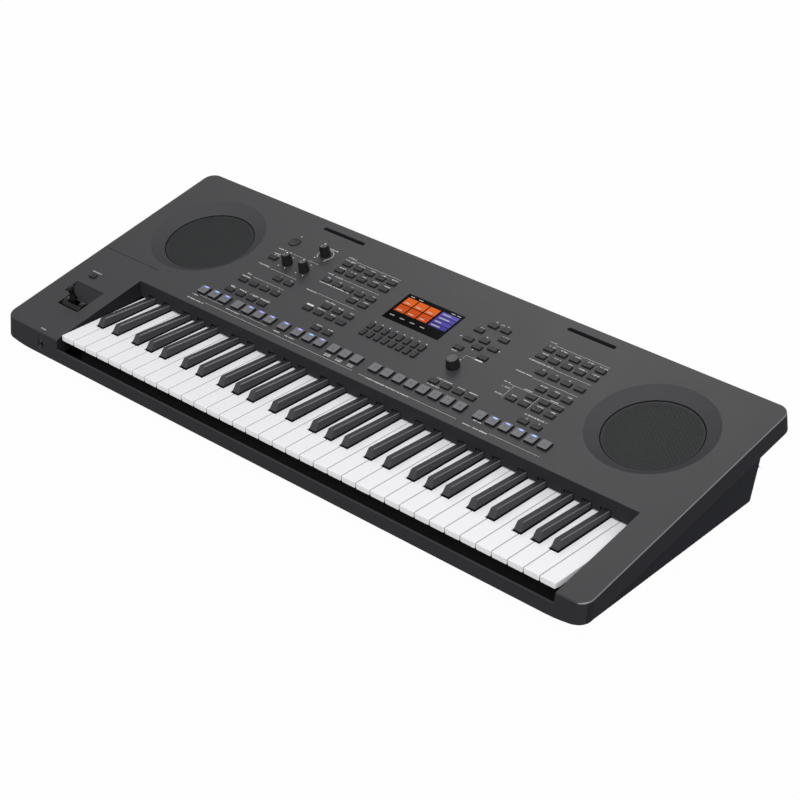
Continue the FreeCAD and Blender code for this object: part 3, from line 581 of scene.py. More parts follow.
def laminate(name, code):
    """A circuit board: green lacquer over copper tracks that show as faint blocks."""
    material, tree = new_finish(name)
    place = tree.node("ShaderNodeTexCoord", output="Object")
    inputs = {"Vector": place, "Scale": track_scale}
    tracks = tree.node("ShaderNodeTexVoronoi", {"distance": "CHEBYCHEV"}, inputs, "Distance")
    copper = tracks > track_share
    surface(tree, {
        "Base Color": tree.mix(copper, tint(code), shaded(tint(code), 1.7)),
        "Roughness": 0.35 + 0.1 * tracks,
        "Normal": bumped(tree, copper, strength=0.3, depth=track_depth),
    })
    return material


grille_steel = moulded("grille_steel", "3d3e3f", roughness=0.5, gloss=0.06, grain=0.4)
plated_steel = metal("plated_steel", "c9c9c6", roughness=0.3, brushed=0.2)
dark_steel = metal("dark_steel", "38383a", roughness=0.4, brushed=0.2)
gold_contact = metal("gold_contact", "d9b56a", roughness=0.3, brushed=0.1)
cone_pulp = fibrous("cone_pulp", "1b1b1c", fibre=0.8, depth=0.08)
key_felt_red = fibrous("key_felt_red", "7a2a2c", fibre=0.5, depth=0.2)
board_green = laminate("board_green", "1f4a33")
print("finishes:", len(bpy.data.materials))

# %% Finishes for the CAD nodes that stay
carried_finish = {
    "case_upper": case_charcoal, "case_lower": shaded_lower_charcoal, "white_key": white_acrylic, "black_key": black_satin,
    "key_bed": bed_black, "felt": key_felt_red, "circuit_board": board_green, "grille": grille_steel,
    "speaker_frame": dark_steel, "speaker_cone": cone_pulp, "button": button_grey, "pad": pad_grey,
    "knob": knob_black, "joystick": joystick_black, "window": socket_black, "display": board_green,
    "socket": socket_black, "socket_shell": plated_steel, "foot": rubber, "screw": dark_steel,
}
slot_of = {entry["node"]: entry["material_slot"] for entry in frame["record"]["subparts"]}
for name, piece in nodes.items():
    piece.data.materials.clear()
    piece.data.materials.append(carried_finish[slot_of[name]])
print("nodes with a finish:", len(slot_of))

# %% [markdown]
# The upper case is one large moulding. It could be remodelled, but the CAD shape is right, so a welded copy gets
# small rounded edges. The headphone socket's plate is part of the same front face on the real case, so the two are
# joined and the faces where they meet are taken out.

# %% Upper case
case_edge = 0.5 * mm
case_shape = merged("top_case", "headphone_jack")
plate_low, plate_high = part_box("headphone_jack")
plate_planes = ((0, plate_low.x), (0, plate_high.x), (2, plate_high.z))
meeting = [
    face for face in case_shape.faces
    if any(all(abs(vert.co[axis] - level) < weld for vert in face.verts) for axis, level in plate_planes)
]
bmesh.ops.delete(case_shape, geom=meeting, context="FACES")
upper_case = add_piece("upper_case", clean(case_shape))
soften(upper_case, case_edge)
settle(upper_case, "case", "case_upper", case_charcoal, "top_case", "headphone_jack")
print("upper case faces:", len(upper_case.data.polygons), "seam faces removed:", len(meeting))

# %% [markdown]
# One charcoal does not serve the whole case: the front, the ends and the back look different from the panel, and the
# panel's right edge shows as a lighter line. So each face gets a lit or shaded copy of the charcoal by the way it
# looks: the walls and the front are painted darker as shade, the back and the dishes are painted lighter as light,
# the right edge gets a painted highlight, and the joystick's well and its ramp are painted darker as shade. Where the
# panel's normal has only a small share in a face's own, the face is a wall. The joystick's well, the dishes and the
# socket's bore are found by their place.

# %% Finishes of the case
back_zone = 150.0 * mm
wall_share = 0.5
edge_share = 0.9
looks_front = -0.5
looks_back = 0.7
looks_right = 0.2
edge_depth = 1.5 * mm
well_sides = (-474.0 * mm, -416.0 * mm)
well_heights = (-40.0 * mm, -0.7 * mm)
well_start, ramp_start, ramp_end = 57.0 * mm, 85.0 * mm, 107.0 * mm
dish_radius = 83.0 * mm
dish_depth = 3.0 * mm
dish_brim = 0.02 * mm
plate_thick = 2.6 * mm


def is_wall(face):
    """Whether a face stands up rather than lies along the panel."""
    return face.normal.dot(panel_up) < wall_share


def is_front(face):
    """Whether a face is a wall that looks to the player."""
    return is_wall(face) and face.normal.y < looks_front


def is_back(face):
    """Whether a face looks to the rear at the back of the case."""
    return face.normal.y > looks_back and face.center.y > back_zone


def is_right_edge(face):
    """Whether a face is part of the panel's rounded right edge."""
    slanted = wall_share <= face.normal.dot(panel_up) < edge_share
    return slanted and face.normal.x > looks_right and (to_panel @ face.center).z > -edge_depth


def is_dish(face):
    """Whether a face belongs to the ring that slopes down to a grille."""
    spot = to_panel @ face.center
    for centre in dish_centres:
        near = math.hypot(spot.x - centre.x, spot.y - centre.y) < dish_radius
        if near and centre.z - dish_depth < spot.z < -dish_brim:
            return True
    return False


def between(low, high, to_grid=Matrix.Identity(4)):
    """A test for faces whose middle lies between two corners of a grid."""
    def inside(face):
        middle = to_grid @ face.center
        return all(low[axis] < middle[axis] < high[axis] for axis in range(3))
    return inside


def between_steps(start, end):
    """A test for the faces of the joystick's well between two steps uphill."""
    low = (well_sides[0], start, well_heights[0])
    return between(low, (well_sides[1], end, well_heights[1]), to_panel)


dish_boxes = [solids(side + "_speaker_grille")[0] for side in ("left", "right")]
dish_centres = [(low + high) / 2 for low, high in dish_boxes]
bore_low = plate_low + Vector((0.0, plate_thick, 0.0))
# Walls and the front are painted darker as shade, and the back and the dishes lighter as painted light.
paint(upper_case, shaded_side_charcoal, is_wall)
# The right edge gets a painted highlight.
paint(upper_case, edge_highlight_charcoal, is_right_edge)
paint(upper_case, shaded_front_charcoal, is_front)
paint(upper_case, lit_back_charcoal, is_back)
# The joystick's well and its ramp are painted darker as shade.
paint(upper_case, well_shade_black, between_steps(well_start, ramp_start))
paint(upper_case, ramp_shade_charcoal, between_steps(ramp_start, ramp_end))
paint(upper_case, lit_dish_charcoal, is_dish)
paint(upper_case, socket_black, between(bore_low, plate_high))
print("finishes of the upper case:", len(upper_case.data.materials))

# %% Lower case
lower_case = rounded("lower_case", "bottom_case", case_edge)
# The lower case takes the darker copy of the charcoal, a painted shade, and its back faces the lighter copy, painted
# light.
settle(lower_case, "case", "case_lower", shaded_lower_charcoal, "bottom_case")
paint(lower_case, lit_back_charcoal, is_back)
print("lower case faces:", len(lower_case.data.polygons))

# %% [markdown]
# White keys are acrylic-looking mouldings with a soft rounded edge. The CAD combs already have the right outline,
# with the notches for the black keys, so each comb is rounded by more than half a millimetre. The lower corners of
# the front lip are drawn in first, which leaves a small dark notch between neighbours. The underside is cut into
# triangles, so that no face spans the gap of a black key. The right flank is painted greyer, a painted shade that
# draws the line between two keys.

# %% White keys
white_edge = 0.8 * mm
lip_notch = Vector((1.1, 0.0, 2.4)) * mm
level_share = 0.9
side_share = 0.8
white_nodes = [name for name in nodes if name.startswith("white_key")]


def notch_lip(shape, low):
    """Draws in the lower corners of every key's front lip."""
    for cut in (Vector((0.0, 0.0, lip_notch.z)), Vector((0.0, 2 * lip_notch.z, 0.0))):
        slice_shape(shape, low + cut, cut)
    for face in shape.faces:
        face.normal_update()
    corners = [vert for vert in shape.verts if abs(vert.co.y - low.y) < weld and abs(vert.co.z - low.z) < weld]
    for vert in corners:
        sides = [face.normal.x for face in vert.link_faces if abs(face.normal.x) > level_share]
        vert.co.x -= math.copysign(lip_notch.x, sides[0])
    underside = [face for face in shape.faces if face.normal.z < -level_share]
    bmesh.ops.triangulate(shape, faces=underside)


for name in white_nodes:
    shape = clean(merged(name))
    notch_lip(shape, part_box(name)[0])
    keys = add_piece(name + "_rounded", shape)
    soften(keys, white_edge, segments=3)
    settle(keys, name, "white_key", white_acrylic, name)
    # The right flanks are painted greyer, a painted shade between the keys.
    if name != "white_key_last":
        paint(keys, key_side_shade, lambda face: face.normal.x > side_share)
print("white key combs:", len(white_nodes))

# %% [markdown]
# A black key leans in: it is widest where it leaves the white keys and narrows to a flat top. The CAD key has that
# taper already, and a small flare at its foot is added here. Two level cuts give it rings of points, and the points
# on the rings are pulled towards the middle line of their own key. The flat crown is painted darker, a painted
# shade, the rounded ridge on its right is painted lighter, a painted highlight, and the foot is painted black, a
# painted shadow where the key meets the white keys. These finishes set the faces apart.

# %% Black keys
black_edge = 0.9 * mm
foot_flare = ((1.2 * mm, 0.93), (3.5 * mm, 0.95))
crown_rise = 5.0 * mm
crown_turn = 0.94
ridge_least = Vector((0.2, -0.3, 0.5))
key_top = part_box("white_key_last")[1].z
black_nodes = [name for name in nodes if name.startswith("black_keys")]


def is_ridge(face):
    """Whether a face is part of a black key's rounded ridge on the right."""
    return face.normal.z <= crown_turn and all(face.normal[axis] > ridge_least[axis] for axis in range(3))


def flare_feet(shape):
    """Draws in the sides of every black key just above its foot."""
    tops = [face for face in shape.faces if face.normal.z > level_share]
    middles = [face.calc_center_median() for face in tops]
    middle_lines = [middle.x for middle in middles if middle.z > key_top + crown_rise]
    for rise, share in foot_flare:
        level = Vector((0.0, 0.0, key_top + rise))
        slice_shape(shape, level, (0.0, 0.0, 1.0))
        for vert in shape.verts:
            if abs(vert.co.z - level.z) < weld:
                middle = min(middle_lines, key=lambda x: abs(x - vert.co.x))
                vert.co.x = middle + share * (vert.co.x - middle)
    return len(middle_lines)


for name in black_nodes:
    shape = clean(merged(name))
    key_count = flare_feet(shape)
    keys = add_piece(name + "_rounded", shape)
    soften(keys, black_edge, segments=3)
    settle(keys, name, "black_key", black_satin, name)
    # Painted shade on the crown, a painted highlight on the ridge and a painted shadow at the foot.
    paint(keys, black_crown_shade, lambda face: face.normal.z > crown_turn)
    paint(keys, black_ridge_highlight, is_ridge)
    paint(keys, gap_shadow_black, lambda face: face.center.z < key_top + foot_flare[0][0])
print("black keys in the last comb:", key_count)

# %% [markdown]
# Buttons and pads repeat by the dozen, so they come from Geometry Nodes. One small cap is modelled once, with rounded
# corners and a shallow dish, and a tree copies it to the middle of every solid of a node. The tree has its model and
# finishes as named inputs, and ends in Realize Instances and Set Material, so that what remains is a plain mesh.

# %% Geometry trees
def geometry_tree(name, sockets):
    """A new geometry tree with named inputs."""
    group = bpy.data.node_groups.new(name, "GeometryNodeTree")
    group.interface.new_socket("Geometry", in_out="INPUT", socket_type="NodeSocketGeometry")
    for label, kind in sockets.items():
        group.interface.new_socket(label, in_out="INPUT", socket_type="NodeSocket" + kind)
    group.interface.new_socket("Geometry", in_out="OUTPUT", socket_type="NodeSocketGeometry")
    return group, Tree(group)


def given(tree, label):
    """One of the tree's named inputs."""
    return tree.node("NodeGroupInput", output=label)


def end_tree(tree, geometry, selection=True, label="Finish"):
    """Makes the copies real, sets the finish and leaves the tree."""
    real = tree.node("GeometryNodeRealizeInstances", {}, {"Geometry": geometry})
    inputs = {"Geometry": real, "Selection": selection, "Material": given(tree, label)}
    tree.node("NodeGroupOutput", {}, {0: tree.node("GeometryNodeSetMaterial", {}, inputs)})


def run_tree(piece, group, values):
    """Runs a geometry tree on a piece and keeps the result as its mesh."""
    modifier = piece.modifiers.new(group.name, "NODES")
    modifier.node_group = group
    for item in group.interface.items_tree:
        if item.in_out == "INPUT" and item.name in values:
            modifier[item.identifier] = values[item.name]
    bake(piece)


def points_piece(name, places):
    """A piece that is only points, for a tree to work on."""
    shape = bmesh.new()
    for place in places:
        shape.verts.new(place)
    return add_piece(name, shape)


copies_group, copies = geometry_tree("copies", {"Model": "Object", "Finish": "Material", "Top Finish": "Material"})
model_info = copies.node("GeometryNodeObjectInfo", {}, {"Object": given(copies, "Model")}, "Geometry")
copied = copies.node("GeometryNodeInstanceOnPoints", {}, {
    "Points": given(copies, "Geometry"), "Instance": model_info,
})
copied = copies.node("GeometryNodeRealizeInstances", {}, {"Geometry": copied})
copied = copies.node("GeometryNodeSetMaterial", {}, {"Geometry": copied, "Material": given(copies, "Finish")})
facing = copies.node("GeometryNodeInputNormal")
upward_least = 0.8
upward = copies.node("ShaderNodeSeparateXYZ", {}, {0: facing}, "Z") > upward_least
end_tree(copies, copied, upward, "Top Finish")


def repeat(name, model, places, finish, top_finish, place=panel):
    """Copies a model to points on the panel's grid."""
    piece = points_piece(name, places)
    run_tree(piece, copies_group, {"Model": model, "Finish": finish, "Top Finish": top_finish})
    piece.data.transform(place)
    return piece


print("tree for copies:", len(copies.nodes), "nodes")

# %% Buttons
cap_corner = 1.2 * mm
cap_edge = 0.45 * mm
no_dish = 0.0
button_dish = 0.25 * mm


def cap_model(name, size, root, top, dish, corner=cap_corner, edge=cap_edge):
    """A rounded cap that stands at the origin of the panel's grid, with its middle pressed in by the dish."""
    shape = bmesh.new()
    bmesh.ops.create_cube(shape, size=1.0)
    bmesh.ops.scale(shape, verts=shape.verts, vec=(size[0], size[1], top - root))
    bmesh.ops.translate(shape, verts=shape.verts, vec=(0.0, 0.0, (top + root) / 2))
    uprights = [line for line in shape.edges if abs(line.verts[0].co.z - line.verts[1].co.z) > weld]
    bmesh.ops.bevel(shape, geom=uprights, offset=corner, segments=3, profile=0.5, affect="EDGES")
    crown = max(shape.faces, key=lambda face: face.calc_center_median().z)
    bmesh.ops.bevel(shape, geom=crown.edges[:], offset=edge, segments=2, profile=0.5, affect="EDGES")
    crown = max(shape.faces, key=lambda face: face.calc_center_median().z)
    hub = bmesh.ops.poke(shape, faces=[crown])["verts"]
    bmesh.ops.translate(shape, verts=hub, vec=(0.0, 0.0, -dish))
    model = add_piece(name, shape)
    smooth(model)
    return model


def middle_of(box):
    """The middle of a box on its grid, at height zero."""
    return Vector(((box[0].x + box[1].x) / 2, (box[0].y + box[1].y) / 2, 0.0))


def caps_for(node, boxes, finish, top_finish, slot, dish):
    """Replaces the solids of a node by copies of one cap."""
    low, high = boxes[0]
    model = cap_model(node + "_model", high - low, low.z, high.z, dish)
    caps = repeat(node + "_caps", model, [middle_of(box) for box in boxes], finish, top_finish)
    bpy.data.objects.remove(model)
    settle(caps, node, slot, None, node)


for name, boxes in button_boxes.items():
    caps_for(name, boxes, button_grey, button_grey, "button", button_dish)
print("button groups:", len(button_boxes))

# %% Pads
pad_dish = 0.1 * mm
for name, boxes in pad_boxes.items():
    # The pads' sides are painted darker than their tops, a painted shade.
    caps_for(name, boxes, pad_side_shade, pad_grey, "pad", pad_dish)
print("pad groups:", len(pad_boxes))

# %% [markdown]
# Most pads have a small lamp under their rear edge. Each lamp is a low bar with an emission that drifts between blue
# and violet from pad to pad, because a noise with a grain larger than a pad picks the tint. The strength is near one,
# so the bars glow without lighting the panel.

# %% Pad lamps
drift_scale = 28.0


def glow(name, first, second, strength):
    """A lit finish whose colour drifts between two tints."""
    material, tree = new_finish(name)
    drift = noise(tree, drift_scale, detail=1.0)
    stops = [(0.4, tint(first)), (0.6, tint(second))]
    light = tree.node("ShaderNodeValToRGB", {"stops": stops}, {0: drift})
    surface(tree, {
        "Base Color": light, "Roughness": 0.3 + 0.2 * drift, "Emission Color": light, "Emission Strength": strength,
    })
    return material


lamp_glow = glow("lamp_glow", "6ba6ee", "8d84e6", strength=0.8)
lamp_size = Vector((6.6, 2.0, 0.5)) * mm
lamp_offset = Vector((0.6, 4.9, 0.0)) * mm
lamp_round = (0.5 * mm, 0.1 * mm)
lit_pads = {"style_pads_left": (0, 1, 2, 4, 5, 6), "style_pads_right": (0, 1, 2, 3), "part_pads": (1, 2, 3, 4)}
lamp_model = cap_model("lamp_model", lamp_size, -lamp_size.z, lamp_size.z / 2, no_dish, *lamp_round)
for name, places in lit_pads.items():
    boxes = sorted(pad_boxes[name], key=lambda box: box[0].x)
    lit = [boxes[place] for place in places]
    tops = [middle_of(box) + lamp_offset + Vector((0.0, 0.0, box[1].z)) for box in lit]
    lamps = repeat(name + "_lamps", lamp_model, tops, lamp_glow, lamp_glow)
    settle(lamps, name, "pad", None)
bpy.data.objects.remove(lamp_model)
print("lit pads:", {name: len(places) for name, places in lit_pads.items()})

# %% [markdown]
# Knobs, the dial and the round power button are turned shapes. A profile of radius and height is spun into rings of
# points, joined by quads, and closed at both poles. The profiles are given in shares of the CAD node's own radius and
# height, so that they stay inside the solid that they replace. A lighter finish marks the dished top, and a short
# raised bar is the pointer.

# %% Turned pieces
looks_out = 0.7


def reach(radius, sides, turn):
    """How far out a ring's point lies; a ring with sides is a polygon whose corners touch the radius."""
    if not sides:
        return radius
    part = math.tau / sides[0]
    return radius * math.cos(part / 2) / math.cos(turn % part - part / 2)


def circle(shape, segments, radius, height, *sides):
    """One ring of points round the h axis, or a single point where the radius is zero."""
    if radius == 0:
        return [shape.verts.new((0.0, 0.0, height))]
    points = []
    for step in range(segments):
        turn = math.tau * step / segments
        out = reach(radius, sides, turn)
        points.append(shape.verts.new((out * math.cos(turn), out * math.sin(turn), height)))
    return points


def skin(shape, rings, segments):
    """Joins each ring to the next and turns the faces outwards."""
    for lower, upper in zip(rings, rings[1:]):
        for step in range(segments):
            corners = [lower[step % len(lower)], lower[(step + 1) % len(lower)]]
            corners += [upper[(step + 1) % len(upper)], upper[step % len(upper)]]
            shape.faces.new(list(dict.fromkeys(corners)))
    bmesh.ops.recalc_face_normals(shape, faces=shape.faces)
    return shape


def lathe(profile, segments=48):
    """A closed turned shape round the h axis, from a pole at the bottom to a pole at the top."""
    shape = bmesh.new()
    return skin(shape, [circle(shape, segments, *ring) for ring in profile], segments)


def ring_shape(loop, segments=96):
    """A turned ring from a closed loop of radius and height."""
    shape = bmesh.new()
    rings = [circle(shape, segments, *ring) for ring in loop]
    return skin(shape, rings + rings[:1], segments)


def turned(node, profile, slot, finish, top_finish, crown_share):
    """Replaces a CAD node on the panel by a turned piece; the profile is in shares of its radius and top height."""
    low, high = solids(node)[0]
    radius = (high.x - low.x) / 2
    shape = lathe([(0.0, low.z)] + [(out * radius, up * high.z) for out, up in profile])
    piece = add_piece(node + "_turned", shape, panel @ Matrix.Translation(middle_of((low, high))))
    smooth(piece)
    settle(piece, node, slot, finish, node)
    crown_low = crown_share * high.z

    def is_crown(face):
        return (to_panel @ face.center).z > crown_low and face.normal.dot(panel_up) > looks_out

    paint(piece, top_finish, is_crown)
    return middle_of((low, high)), radius, high.z


knob_profile = (
    (0.4, -0.5), (0.4, 0.04), (0.97, 0.04), (1.0, 0.07), (0.985, 0.2), (0.835, 0.9), (0.81, 0.96), (0.76, 0.995),
    (0.7, 1.0), (0.655, 0.985), (0.6, 0.955), (0.3, 0.93), (0.0, 0.925),
)
knob_crown = 0.9
pointer_size = Vector((1.3, 3.6, 1.0)) * mm
pointer_lift = 0.2 * mm
pointer_round = (0.3 * mm, 0.1 * mm)
pointer_out = 0.55
pointer_up = 0.97
for name in ("control_knob_left", "control_knob_right", "volume_knob"):
    middle, radius, top = turned(name, knob_profile, "knob", knob_black, knob_top, knob_crown)
    pointer = cap_model(name + "_pointer", pointer_size, -pointer_size.z, pointer_lift, no_dish, *pointer_round)
    pointer_spot = middle + Vector((0.0, pointer_out * radius, pointer_up * top))
    pointer.data.transform(panel @ Matrix.Translation(pointer_spot))
    settle(pointer, name, "knob", pointer_white)
dial_profile = (
    (0.3, -0.5), (0.3, 0.05), (0.97, 0.05), (1.0, 0.09), (0.99, 0.2), (0.84, 0.88), (0.82, 0.95), (0.77, 0.995),
    (0.72, 1.0), (0.4, 0.99), (0.0, 0.985),
)
turned("data_dial", dial_profile, "knob", knob_black, dial_grey, knob_crown)
power_crown = 0.4
power_profile = (
    (1.0, -3.0), (1.0, 0.45), (0.985, 0.75), (0.95, 0.95), (0.9, 1.0), (0.84, 0.95), (0.4, 0.6), (0.0, 0.5),
)
turned("power_button", power_profile, "button", button_grey, button_grey, power_crown)

# %% [markdown]
# Each speaker hides behind a sheet of perforated steel. On a real sheet the holes sit on a triangular grid. The tree
# makes that grid, shifts every second row by half a step, drops the points outside the rim, and sets one six-sided
# cell with a hole on each point. Neighbouring cells share their edges, so merging by distance gives one sheet.

# %% Perforated sheet
hole_pitch = 1.8 * mm
hole_share = 0.7
sheet_thick = 0.45 * mm
sheet_drop = 0.65 * mm
rim_width = 1.1 * mm
rim_lip = 0.1 * mm
rim_step = 0.05 * mm


def grille_cell():
    """One six-sided cell of the sheet, with its hole."""
    shape = bmesh.new()
    outer = hole_pitch / math.sqrt(3)
    corners = [(math.sin(math.tau * step / 6), math.cos(math.tau * step / 6)) for step in range(6)]
    hole = outer * hole_share
    rings = []
    for radius, height in ((outer, 0.0), (hole, 0.0), (hole, -sheet_thick), (outer, -sheet_thick)):
        rings.append([shape.verts.new((radius * x, radius * y, height)) for x, y in corners])
    for first, second in zip(rings, rings[1:]):
        for step in range(6):
            shape.faces.new((first[step], first[step - 1], second[step - 1], second[step]))
    bmesh.ops.recalc_face_normals(shape, faces=shape.faces)
    if shape.faces[0].normal.z < 0:
        bmesh.ops.reverse_faces(shape, faces=shape.faces)
    return add_piece("cell_model", shape)


sheet_group, sheet = geometry_tree("perforation", {
    "Cell": "Object", "Pitch": "Float", "Radius": "Float", "Finish": "Material",
})
pitch_in = given(sheet, "Pitch")
radius_in = given(sheet, "Radius")
row_pitch = pitch_in * (math.sqrt(3) / 2)
columns = pitch_in.maths("FLOOR", 2.0 * radius_in / pitch_in) + 2.0
rows = pitch_in.maths("FLOOR", 2.0 * radius_in / row_pitch) + 2.0
grid = sheet.node("GeometryNodeMeshGrid", {}, {
    "Size X": (columns - 1.0) * pitch_in, "Size Y": (rows - 1.0) * row_pitch,
    "Vertices X": columns, "Vertices Y": rows,
})
place_y = sheet.node("ShaderNodeSeparateXYZ", {}, {0: sheet.node("GeometryNodeInputPosition")}, "Y")
row_number = pitch_in.maths("ROUND", place_y / row_pitch + (rows - 1.0) / 2.0)
shift = pitch_in.maths("MODULO", row_number, 2.0) * pitch_in / 2.0 - pitch_in / 4.0
staggered = sheet.node("GeometryNodeSetPosition", {}, {
    "Geometry": grid, "Offset": sheet.node("ShaderNodeCombineXYZ", {}, {"X": shift}),
})
from_middle = {0: sheet.node("GeometryNodeInputPosition")}
distance = sheet.node("ShaderNodeVectorMath", {"operation": "LENGTH"}, from_middle, "Value")
kept = sheet.node("GeometryNodeDeleteGeometry", {}, {"Geometry": staggered, "Selection": distance > radius_in})
cell_info = sheet.node("GeometryNodeObjectInfo", {}, {"Object": given(sheet, "Cell")}, "Geometry")
cells = sheet.node("GeometryNodeInstanceOnPoints", {}, {"Points": kept, "Instance": cell_info})
cells = sheet.node("GeometryNodeRealizeInstances", {}, {"Geometry": cells})
end_tree(sheet, sheet.node("GeometryNodeMergeByDistance", {}, {"Geometry": cells, "Distance": weld}))
print("tree for the perforated sheet:", len(sheet.nodes), "nodes")

# %% Speaker grilles
cell_model = grille_cell()
for side in ("left", "right"):
    name = side + "_speaker_grille"
    low, high = solids(name)[0]
    outer = (high.x - low.x) / 2
    centre = middle_of((low, high)) + Vector((0.0, 0.0, high.z - sheet_drop))
    grille = points_piece(name + "_sheet", [])
    reach_of_cells = outer - rim_width / 2
    run_tree(grille, sheet_group, {
        "Cell": cell_model, "Pitch": hole_pitch, "Radius": reach_of_cells, "Finish": grille_steel,
    })
    grille.data.transform(panel @ Matrix.Translation(centre))
    settle(grille, "case", "grille", None, name)
    # The rim is painted black all round, a painted shadow where the sheet sits below the dish.
    inner = outer - rim_width
    lip = outer - rim_lip
    foot_of_rim = -sheet_thick - rim_step
    rim_loop = (
        (inner, foot_of_rim), (inner, rim_step), (lip, rim_step), (lip, sheet_drop), (outer, sheet_drop),
        (outer, foot_of_rim),
    )
    rim = add_piece(name + "_rim", ring_shape(rim_loop), panel @ Matrix.Translation(centre))
    smooth(rim)
    settle(rim, "case", "grille", gap_shadow_black)
bpy.data.objects.remove(cell_model)
print("sheet faces:", len(grille.data.polygons))

# %% [markdown]
# The joystick is a ball-shaped drum in a bracket, with a lever that leans on a pin through the drum. The CAD solids
# already have the sizes, so they are rounded generously, and a glossy black lets the drum take a bright glint.

# %% Joystick
joystick_edges = {"joystick_bracket": 0.4 * mm, "joystick_drum": 0.8 * mm, "joystick_lever": 0.9 * mm}
for name, edge in joystick_edges.items():
    piece = rounded(name + "_rounded", name, edge, segments=3)
    settle(piece, nodes[name]["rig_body"], "joystick", joystick_black, name)
print("joystick pieces:", len(joystick_edges))

# %% [markdown]
# The display is a black glass with a lit picture. The picture is a plain menu of its own: six orange tiles, four
# violet rows and a few short bars. It is painted by the material: the glass carries its own UV map, and comparisons
# on u and v give rectangular masks that mix one colour over another.

# %% Display glass
screen_edge = 0.4 * mm
glass_codes = ("060607", "0b0b0c")
bar_code = "b9b3ae"
tile_columns = (0.04, 0.24, 0.44)
tile_rows = ((0.63, "de6423"), (0.34, "c94f17"))
tile_size = (0.18, 0.26)
tile_bar = (0.03, 0.05, 0.09)
list_left = 0.66
list_rows = ((0.765, "5f5ab4", 0.14), (0.62, "524da6", 0.18), (0.475, "524da6", 0.11), (0.33, "464194", 0.15))
list_size = (0.3, 0.125)
list_bar = (0.03, 0.045)
bar_height = 0.035
edge_bar_height = 0.025
edge_bars = ((0.935, 0.07, (0.05, 0.20, 0.78, 0.88)), (0.16, 0.08, (0.06, 0.24, 0.42, 0.60)))


def menu():
    """The blocks of the menu, each with its left and low side, its width, its height and its colour."""
    tiles = [(left, low, code) for low, code in tile_rows for left in tile_columns]
    blocks = [(left, low, *tile_size, code) for left, low, code in tiles]
    blocks += [(list_left, low, *list_size, code) for low, code, width in list_rows]
    right, up, width = tile_bar
    blocks += [(left + right, low + up, width, bar_height, bar_code) for left, low, code in tiles]
    right, up = list_bar
    blocks += [(list_left + right, low + up, width, bar_height, bar_code) for low, code, width in list_rows]
    for low, width, starts in edge_bars:
        blocks += [(left, low, width, edge_bar_height, bar_code) for left in starts]
    return blocks


def display_finish():
    """Dark glass with the menu shining through it."""
    material, tree = new_finish("display_picture")
    place = tree.node("ShaderNodeUVMap", {"uv_map": "picture"})
    u = tree.node("ShaderNodeSeparateXYZ", {}, {0: place}, "X")
    v = u.output("Y")
    dust = tree.node("ShaderNodeTexNoise", {}, {"Vector": place, "Scale": 40.0, "Detail": 3.0}, "Fac")
    picture = tree.mix(dust, *[tint(code) for code in glass_codes])
    for left, low, width, height, code in menu():
        mask = (u > left) * (u < left + width) * (v > low) * (v < low + height)
        picture = tree.mix(mask, picture, tint(code))
    surface(tree, {
        "Base Color": tint(glass_codes[0]),
        "Roughness": 0.12 + 0.06 * dust,
        "Specular IOR Level": 0.004,
        "Emission Color": picture,
        "Emission Strength": 0.95,
    })
    return material


screen_low, screen_high = solids("display_window")[0]
screen_size = screen_high - screen_low
shape = bmesh.new()
bmesh.ops.create_cube(shape, size=1.0)
bmesh.ops.scale(shape, verts=shape.verts, vec=screen_size)
bmesh.ops.translate(shape, verts=shape.verts, vec=(screen_low + screen_high) / 2)
crown = max(shape.faces, key=lambda face: face.calc_center_median().z)
bmesh.ops.bevel(shape, geom=crown.edges[:], offset=screen_edge, segments=2, profile=0.5, affect="EDGES")
picture_map = shape.loops.layers.uv.new("picture")
for face in shape.faces:
    for corner in face.loops:
        spot = corner.vert.co - screen_low
        corner[picture_map].uv = (spot.x / screen_size.x, spot.y / screen_size.y)
display_glass = add_piece("display_glass", shape, panel)
smooth(display_glass)
settle(display_glass, "case", "window", display_finish(), "display_window")
print("display:", tuple(round(value / mm, 1) for value in screen_size))

# %% [markdown]
# White print runs all over the panel: thin rules that tie buttons into groups, and rows of small strokes, which read
# as print from a distance and say nothing. Two trees make them: one sweeps a flat section along drawn lines, the
# other steps along each line and sets a stroke at every step, with a seeded choice of its width and of the gaps.

# %% Trees for the print
rules_group, rules = geometry_tree("printed_rules", {"Width": "Float", "Height": "Float", "Finish": "Material"})
drawn = rules.node("GeometryNodeMeshToCurve", {}, {0: given(rules, "Geometry")})
upright = rules.node("GeometryNodeSetCurveNormal", {"mode": "Z_UP"}, {0: drawn})
section = rules.node("GeometryNodeCurvePrimitiveQuadrilateral", {}, {
    0: given(rules, "Width"), 1: given(rules, "Height"),
})
swept = rules.node("GeometryNodeCurveToMesh", {}, {"Curve": upright, "Profile Curve": section, "Fill Caps": True})
end_tree(rules, swept)

strokes_group, strokes = geometry_tree("printed_strokes", {
    "Stroke": "Object", "Step": "Float", "Gaps": "Float", "Seed": "Int", "Finish": "Material",
})
drawn = strokes.node("GeometryNodeMeshToCurve", {}, {0: given(strokes, "Geometry")})
stepped = strokes.node("GeometryNodeResampleCurve", {"mode": "LENGTH"}, {
    0: drawn, "Length": given(strokes, "Step"),
})
chance = {6: 1.0 - given(strokes, "Gaps"), "Seed": given(strokes, "Seed")}
there = strokes.node("FunctionNodeRandomValue", {"data_type": "BOOLEAN"}, chance, 3)
spread = {0: (0.55, 0.7, 1.0), 1: (1.1, 1.1, 1.0), "Seed": given(strokes, "Seed") + 1.0}
sizes = strokes.node("FunctionNodeRandomValue", {"data_type": "FLOAT_VECTOR"}, spread)
stroke_info = strokes.node("GeometryNodeObjectInfo", {}, {"Object": given(strokes, "Stroke")}, "Geometry")
